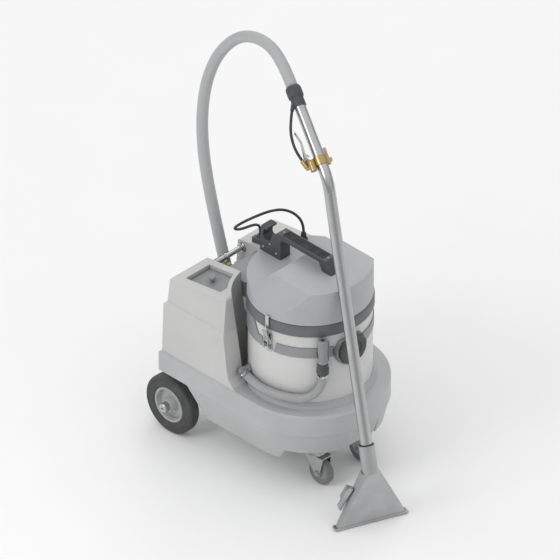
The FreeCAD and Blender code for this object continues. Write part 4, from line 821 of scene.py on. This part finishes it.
# ---- suction hose ----
@dataclass
class SuctionHose:
    """Large hose from the wand's cuff over to the swivel cuff behind the drum."""

    wand: Wand
    radius: float = 19.0
    rest_gap: float = 0.3
    rise: float = 97.5
    route: tuple[Point, ...] = (
        (-328, 120, 1370), (-422, 112, 1344), (-490, 88, 1262), (-526, 66, 1150), (-533, 50, 1025),
        (-515, 36, 900), (-481, 26, 785), (-446, 20, 680), (-413, 18, 575), (-384, 18, 480))

    def points(self) -> list[Vector]:
        """Returns the hose's route, starting at the wand's cuff."""
        top = Vector(self.wand.top)
        up = self.wand.upper()
        start = [self.wand.place(top + up * self.rest_gap), self.wand.place(top + up * self.rise)]
        return start + from_drum(self.route)

    def build(self) -> None:
        """Lays the hose from the wand's cuff, and dresses the hose's cuff and the inlet elbow."""
        points = self.points()
        hose = Cord("suction_hose", "suction_line", points, self.radius * MM, Coat.HOSE, "chassis",
                    "hose")
        hose.build_between()
        Coat.CUFF.dress("hose_cuff")
        Coat.GREY.dress("inlet_elbow")


# ---- base and wheels ----
@dataclass
class Base:
    """Moulded base with its rear wheels and swivel casters."""

    plate_thickness: float = 5.0
    rim_radius: float = 62.0
    shoulder: float = 12.0
    groove_depth: float = 2.0
    groove_half: float = 1.5

    def build(self) -> None:
        """Dresses the base, the axle, the wheels and the casters."""
        Coat.SHELL.dress("chassis_base")
        Coat.ZINC.dress("rear_axle")
        for side in SIDES:
            Coat.RIM.dress("rim_" + side)
            Coat.ZINC.dress("caster_plate_" + side, "caster_fork_" + side, "caster_bolt_" + side)
            Coat.GREY.dress("caster_hub_" + side)
            Coat.TREAD.dress("caster_tread_" + side)
            self.add_plate_bolts(side)
            self.add_tyre(side)

    def tyre_profile(self, outer: float, half: float) -> list[tuple[float, float]]:
        """Returns the tyre's section: wall, shoulder, grooved tread, and the same on its back.

        Args:
            outer: the tread's radius, in millimetres.
            half: half of the tyre's width, in millimetres.
        """
        inner, turn = self.rim_radius, self.shoulder
        top = outer - turn
        wall = [(inner, half - 3), (inner + 3, half), (inner + 8, half), (inner + 9, half + 0.8),
                (inner + 11, half + 0.8), (inner + 12, half), (top - 4, half),
                (top - 3.2, half - 1.1), (top - 1.6, half - 1.1), (top - 0.8, half)]
        steps = [math.radians(angle) for angle in range(90, -1, -15)]
        wall += [(top + turn * math.cos(a), half - turn + turn * math.sin(a)) for a in steps]
        floor, wide, narrow = outer - self.groove_depth, self.groove_half, self.groove_half * 0.55
        side = half - turn - 2.6
        wall += [(outer, side + wide), (floor, side + narrow), (floor, side - narrow),
                 (outer, side - wide), (outer, wide), (floor, narrow)]
        whole = wall + [(r, -y) for r, y in reversed(wall)]
        return in_mm(*whole, whole[0])

    def add_tyre(self, side: str) -> None:
        """Turns a tyre with wall lines and tread grooves, in place of the node's plainer one."""
        low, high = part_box("tyre_" + side)
        half = (high - low) / (2 * MM)
        mesh = lathe(self.tyre_profile(half.z, half.y), 144)
        bmesh.ops.remove_doubles(mesh, verts=mesh.verts, dist=SAME_PLACE)
        place = facing((low + high) / 2, Vector((0, 1, 0)))
        tyre = piece("rolling_tyre_" + side, mesh, place, Coat.TYRE, "wheel_" + side, "tyre", 28.0)
        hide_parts("tyre_" + side)

    def add_plate_bolts(self, side: str) -> None:
        """Adds the four bolts that hold a caster's plate under the base."""
        name = "caster_plate_" + side
        centre = middle(name)
        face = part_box(name)[1].z - self.plate_thickness * MM
        places = [facing(Vector((centre.x + dx * MM, centre.y + dy * MM, face)), -UP)
                  for dx in (-36, 36) for dy in (-26, 26)]
        many("plate_bolts_" + side, lambda: hex_bolt(5.6 * MM, 3.6 * MM), places, Coat.ZINC,
             "chassis", "zinc")


# ---- drum ----
@dataclass
class Drum:
    """Recovery drum with its belt, cleanout port, drain and latches."""

    drain_radius: float = 14.0
    drain_path: float = 218.5
    drain_height: float = 358.0
    latch_bearing: float = 86.0
    latch_face: float = 202.0
    insert_depth: float = 6.0
    drain_bearings: tuple[tuple[float, float], ...] = (
        (-113, 0), (-98, 0), (-83, 0), (-68, 0), (-52.5, 0), (-44.3, 12.6), (-38, 36),
        (-34.6, 66.4), (-34.6, 99.4))

    def drain_route(self) -> list[Vector]:
        """Returns the drain hose's route round the foot of the drum and up to its clip."""
        return [bearing(self.drain_path * MM, degrees, (self.drain_height + rise) * MM)
                for degrees, rise in self.drain_bearings]

    def build(self) -> None:
        """Dresses the drum's nodes and lays the drain hose."""
        Coat.DRUM.dress("recovery_drum")
        Coat.BELT.dress("drum_belt")
        Coat.GREY.dress("front_port", "drain_elbow", "drain_plug")
        Coat.DARK.dress("port_cap", "drain_collar", "drain_clip")
        for side in SIDES:
            Coat.CHROME.dress("latch_base_" + side, "latch_lever_" + side, "latch_bail_" + side)
        Cord("drain_hose", "drain_line", self.drain_route(), self.drain_radius * MM, Coat.DRAIN,
             "chassis", "hose", lay="taut").build()
        self.add_hose_clamps()
        self.add_latch_rivets()
        self.add_plug_insert()

    def add_hose_clamps(self) -> None:
        """Adds the two band clamps on the drain hose."""
        route = self.drain_route()
        foot, top = route[0], route[-1]
        start = (route[1] - foot).normalized()
        clamp = BandClamp(self.drain_radius + 0.4)
        for name, at, axis, toward in (
                ("low", foot + start * 9 * MM, start, outward(foot) + Vector((0, 0, 0.25))),
                ("high", top - UP * 9 * MM, UP, outward(top) + Vector((-0.2, -0.2, 0)))):
            clamp.build("drain_clamp_" + name, at, axis, toward, "chassis")

    def add_latch_rivets(self) -> None:
        """Adds the rivets that hold each latch's plate on the drum."""
        for side, sign in zip(SIDES, (-1, 1)):
            degrees = sign * self.latch_bearing
            out = bearing(1, degrees, 0) - bearing(0, degrees, 0)
            across = UP.cross(out)
            spots = ((0.0, 505.5), (-11.0, 535.0), (11.0, 535.0), (-11.0, 560.0), (11.0, 560.0))
            face = self.latch_face * MM
            places = [facing(bearing(face, degrees, z * MM) + across * y * MM, out)
                      for y, z in spots]
            many("latch_rivets_" + side, lambda: rivet(1.9 * MM), places, Coat.CHROME, "chassis",
                 "chrome")

    def add_plug_insert(self) -> None:
        """Adds the dark insert in the top of the drain plug."""
        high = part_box("drain_plug")[1].z
        foot = self.drain_route()[-1]
        insert = lathe(in_mm((0, 0), (7.6, 0), (7.6, 1.2), (6.6, 2.0), (2.6, 2.0), (2.0, 0.8),
                             (0, 0.8)), 32)
        at = Vector((foot.x, foot.y, high - self.insert_depth * MM))
        piece("plug_insert", insert, Matrix.Translation(at), Coat.DARK, "chassis", "dark_plastic")


# ---- head ----
@dataclass
class Head:
    """Lift-off motor head with its carry handle and cable."""

    cable_radius: float = 4.4
    cover_radius: float = 200.5
    post_half: float = 22.0
    handle_top: float = 791.0
    cable: tuple[Point, ...] = (
        (-142, 112, 722), (-142, 112, 756), (-162, 96, 792), (-186, 66, 812), (-206, 30, 814),
        (-222, -8, 808), (-238, -42, 798), (-260, -62, 778), (-284, -56, 750), (-298, -28, 724),
        (-306, 10, 706), (-313, 48, 694), (-319, 80, 680), (-322, 100, 660), (-322, 100, 628))

    def build(self) -> None:
        """Dresses the head's nodes and lays the cable."""
        Coat.HEAD.dress("head_cover")
        Coat.RING.dress("head_ring")
        Coat.DARK.dress("carry_handle", "cable_plug")
        Coat.RUBBER.dress("grip_insert", "cable_boot")
        Coat.ALUMINIUM.dress("vacuum_motor")
        Coat.GREY.dress("float_cage", "float_ball")
        Cord("power_cable", "head_cable", from_drum(self.cable), self.cable_radius * MM, Coat.CORD,
             "head", "cord").build()
        self.add_seam_gasket()
        self.add_handle_screws()
        self.add_boot_ribs()

    def add_seam_gasket(self) -> None:
        """Adds the thin gasket between the cover and its ring."""
        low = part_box("head_cover")[0]
        r = self.cover_radius
        ring = lathe(in_mm((r - 1, 0), (r + 0.5, 0), (r + 0.9, 1), (r + 0.5, 2), (r - 1, 2)), 160)
        at = drum_axis() + UP * (low.z - 1.0 * MM)
        piece("cover_gasket", ring, Matrix.Translation(at), Coat.RUBBER, "head", "rubber")

    def add_handle_screws(self) -> None:
        """Adds the screws on both sides of the handle's post and at its front foot."""
        places = []
        for sign in (-1, 1):
            out = Vector((0, sign, 0))
            for x, z in ((-188, 712), (-130, 712), (-158, 735)):
                places.append(facing(from_drum([(x, sign * self.post_half, z)])[0], out))
        many("handle_screws", lambda: star_screw(4.2 * MM), places, Coat.ZINC, "head", "zinc")
        top = [facing(at, UP) for at in from_drum((x, 0, self.handle_top) for x in (80, -116))]
        many("grip_screws", lambda: star_screw(3.4 * MM), top, Coat.ZINC, "head", "zinc")

    def add_boot_ribs(self) -> None:
        """Adds the ribs round the cable's strain relief."""
        centre = middle("cable_boot")
        at = Vector((centre.x, centre.y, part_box("cable_boot")[0].z))
        ribs = []
        for step in range(5):
            z = 9.0 + 3.6 * step
            r = 9.2 - 0.45 * step
            ribs.append(lathe(in_mm((r - 1, z), (r + 0.6, z + 0.3), (r + 0.6, z + 1.3),
                                    (r - 1, z + 1.6)), 30))
        piece("boot_ribs", joined(*ribs), Matrix.Translation(at), Coat.RUBBER, "head", "rubber")


# ---- towers ----
@dataclass
class Towers:
    """Solution tank, left housing and the bay between them."""

    def build(self) -> None:
        """Dresses the towers, the lid, the bar and the pieces in the bay."""
        Coat.TANK.dress("solution_tank", "left_housing")
        Coat.GREY.dress("fill_lid", "bay_bridge")
        Coat.DARK.dress("power_socket", "solution_pump")
        Coat.STEEL.dress("push_bar")
        Coat.BRASS.dress("quick_coupler")
        Coat.ALUMINIUM.dress("pump_motor")
        self.add_bar_flanges()
        self.add_coupler_knurl()
        self.add_socket_screws()

    def add_bar_flanges(self) -> None:
        """Adds the flange at each end of the push bar, with its two screws."""
        low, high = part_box("push_bar")
        centre = (low + high) / 2
        for name, y, sign, r in (("right", low.y, 1, 10.5), ("left", high.y, -1, 9.0)):
            at = Vector((centre.x, y + sign * 1.2 * MM, centre.z))
            out = Vector((0, sign, 0))
            flange = lathe(in_mm((r - 1, 0), (r + 8, 0), (r + 8, 2.0), (r + 7, 3.0),
                                 (r + 1.5, 3.2), (r + 0.4, 6.0), (r - 1, 6.0)), 40)
            piece("bar_flange_" + name, flange, facing(at, out), Coat.CHROME, "chassis", "chrome")
            heads = [facing(at + Vector((dx, sign * 2.8, 0)) * MM, out)
                     for dx in (-r - 4.6, r + 4.6)]
            many("bar_screws_" + name, lambda: star_screw(2.4 * MM), heads, Coat.ZINC, "chassis",
                 "zinc")

    def add_coupler_knurl(self) -> None:
        """Adds the knurled sleeve of the quick coupling."""
        centre = middle("quick_coupler")
        at = Vector((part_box("quick_coupler")[1].x - 18 * MM, centre.y, centre.z))
        sleeve = lathe(in_mm((10.0, 0), (10.6, 0.6), (10.6, 7.6), (10.0, 8.2)), 96,
                       lambda angle, _: 0.35 * MM * math.cos(24 * angle))
        piece("coupler_knurl", sleeve, facing(at, Vector((-1, 0, 0))), Coat.BRASS, "chassis",
              "brass")

    def add_socket_screws(self) -> None:
        """Adds the two screws that hold the socket block down."""
        low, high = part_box("power_socket")
        places = [facing(Vector((x, (low.y + high.y) / 2, high.z - 1.6 * MM)), UP)
                  for x in (low.x + 5 * MM, high.x - 5 * MM)]
        many("socket_screws", lambda: star_screw(2.6 * MM), places, Coat.ZINC, "chassis", "zinc")


# ---- studio ----
@dataclass
class Studio:
    """Camera, floor and soft lamps."""

    target: Point = (-0.0461, -0.0675, 0.6647)
    width: float = 1.764
    away: float = 6.0
    floor_tone: Colour = (0.96, 0.96, 0.96)
    floor_reach: float = 40.0

    def build(self) -> None:
        """Sets the camera, the floor, the lamps and the colour view."""
        scene = bpy.context.scene
        scene.view_settings.view_transform = "Standard"
        scene.camera = self.camera()
        self.floor()
        self.world()
        self.lamp("key", (-0.6, -3.6, 3.4), 1.7, 38.0)
        self.lamp("fill", (3.8, 0.8, 1.6), 2.4, 4.0)
        self.lamp("rim", (-2.4, 2.8, 3.4), 2.2, 16.0)

    def camera(self) -> Thing:
        """Returns an orthographic camera that looks down along an isometric line."""
        data = bpy.data.cameras.new("camera")
        data.type = "ORTHO"
        data.ortho_scale = self.width
        data.clip_end = 100.0
        thing = linked("camera", data)
        back = Vector((1, -1, 1)).normalized()
        right = Vector((1, 1, 0)).normalized()
        up = back.cross(right)
        turn = Matrix((right, up, back)).transposed().to_4x4()
        thing.matrix_world = Matrix.Translation(Vector(self.target) + back * self.away) @ turn
        return thing

    def floor(self) -> None:
        """Lays a wide pale floor."""
        mesh = bmesh.new()
        reach = self.floor_reach
        mesh.faces.new([mesh.verts.new((x * reach, y * reach, 0.0))
                        for x, y in ((-1, -1), (1, -1), (1, 1), (-1, 1))])
        data = bpy.data.meshes.new("floor")
        mesh.to_mesh(data)
        mesh.free()
        thing = linked("floor", data)
        tree = ShaderTree("floor")
        mottle = tree.remap(tree.noise(3.0), 0.3, 0.7, 0.0, 1.0)
        pale = tuple(value * 0.985 for value in self.floor_tone)
        tree.wire("Base Color", tree.mix(mottle, self.floor_tone, pale))
        tree.set(Roughness=0.9)
        data.materials.append(tree.material)

    def world(self) -> None:
        """Lights everything from a sky that is bright overhead and deeper towards the horizon."""
        world = bpy.data.worlds.new("studio")
        world.use_nodes = True
        nodes = world.node_tree.nodes
        links = world.node_tree.links
        place = nodes.new("ShaderNodeTexCoord")
        apart = nodes.new("ShaderNodeSeparateXYZ")
        fade = nodes.new("ShaderNodeMapRange")
        for name, number in (("From Min", 0.0), ("From Max", 0.85), ("To Min", 0.34),
                             ("To Max", 1.00)):
            fade.inputs[name].default_value = number
        links.new(place.outputs["Generated"], apart.inputs["Vector"])
        links.new(apart.outputs["Z"], fade.inputs["Value"])
        links.new(fade.outputs["Result"], nodes["Background"].inputs["Strength"])
        nodes["Background"].inputs["Color"].default_value = (1.0, 1.0, 1.0, 1.0)
        bpy.context.scene.world = world

    def lamp(self, name: str, at: Point, size: float, power: float) -> None:
        """Adds a square soft lamp that faces the machine: side in metres, power in watts."""
        data = bpy.data.lights.new(name, "AREA")
        data.size = size
        data.energy = power
        thing = linked(name, data)
        toward = Vector(at) - Vector((self.target[0], self.target[1], 0.5))
        thing.matrix_world = facing(Vector(at), toward)


def main() -> None:
    """Builds every sub-assembly in order and reports each one."""
    logging.basicConfig(level=logging.INFO, format="%(name)s: %(message)s")
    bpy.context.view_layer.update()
    wand = Wand()
    for part in (Studio(), Base(), Drum(), Head(), Towers(), wand, SuctionHose(wand)):
        part.build()
        log.info("%s built", type(part).__name__)


if __name__ == "__main__":
    main()
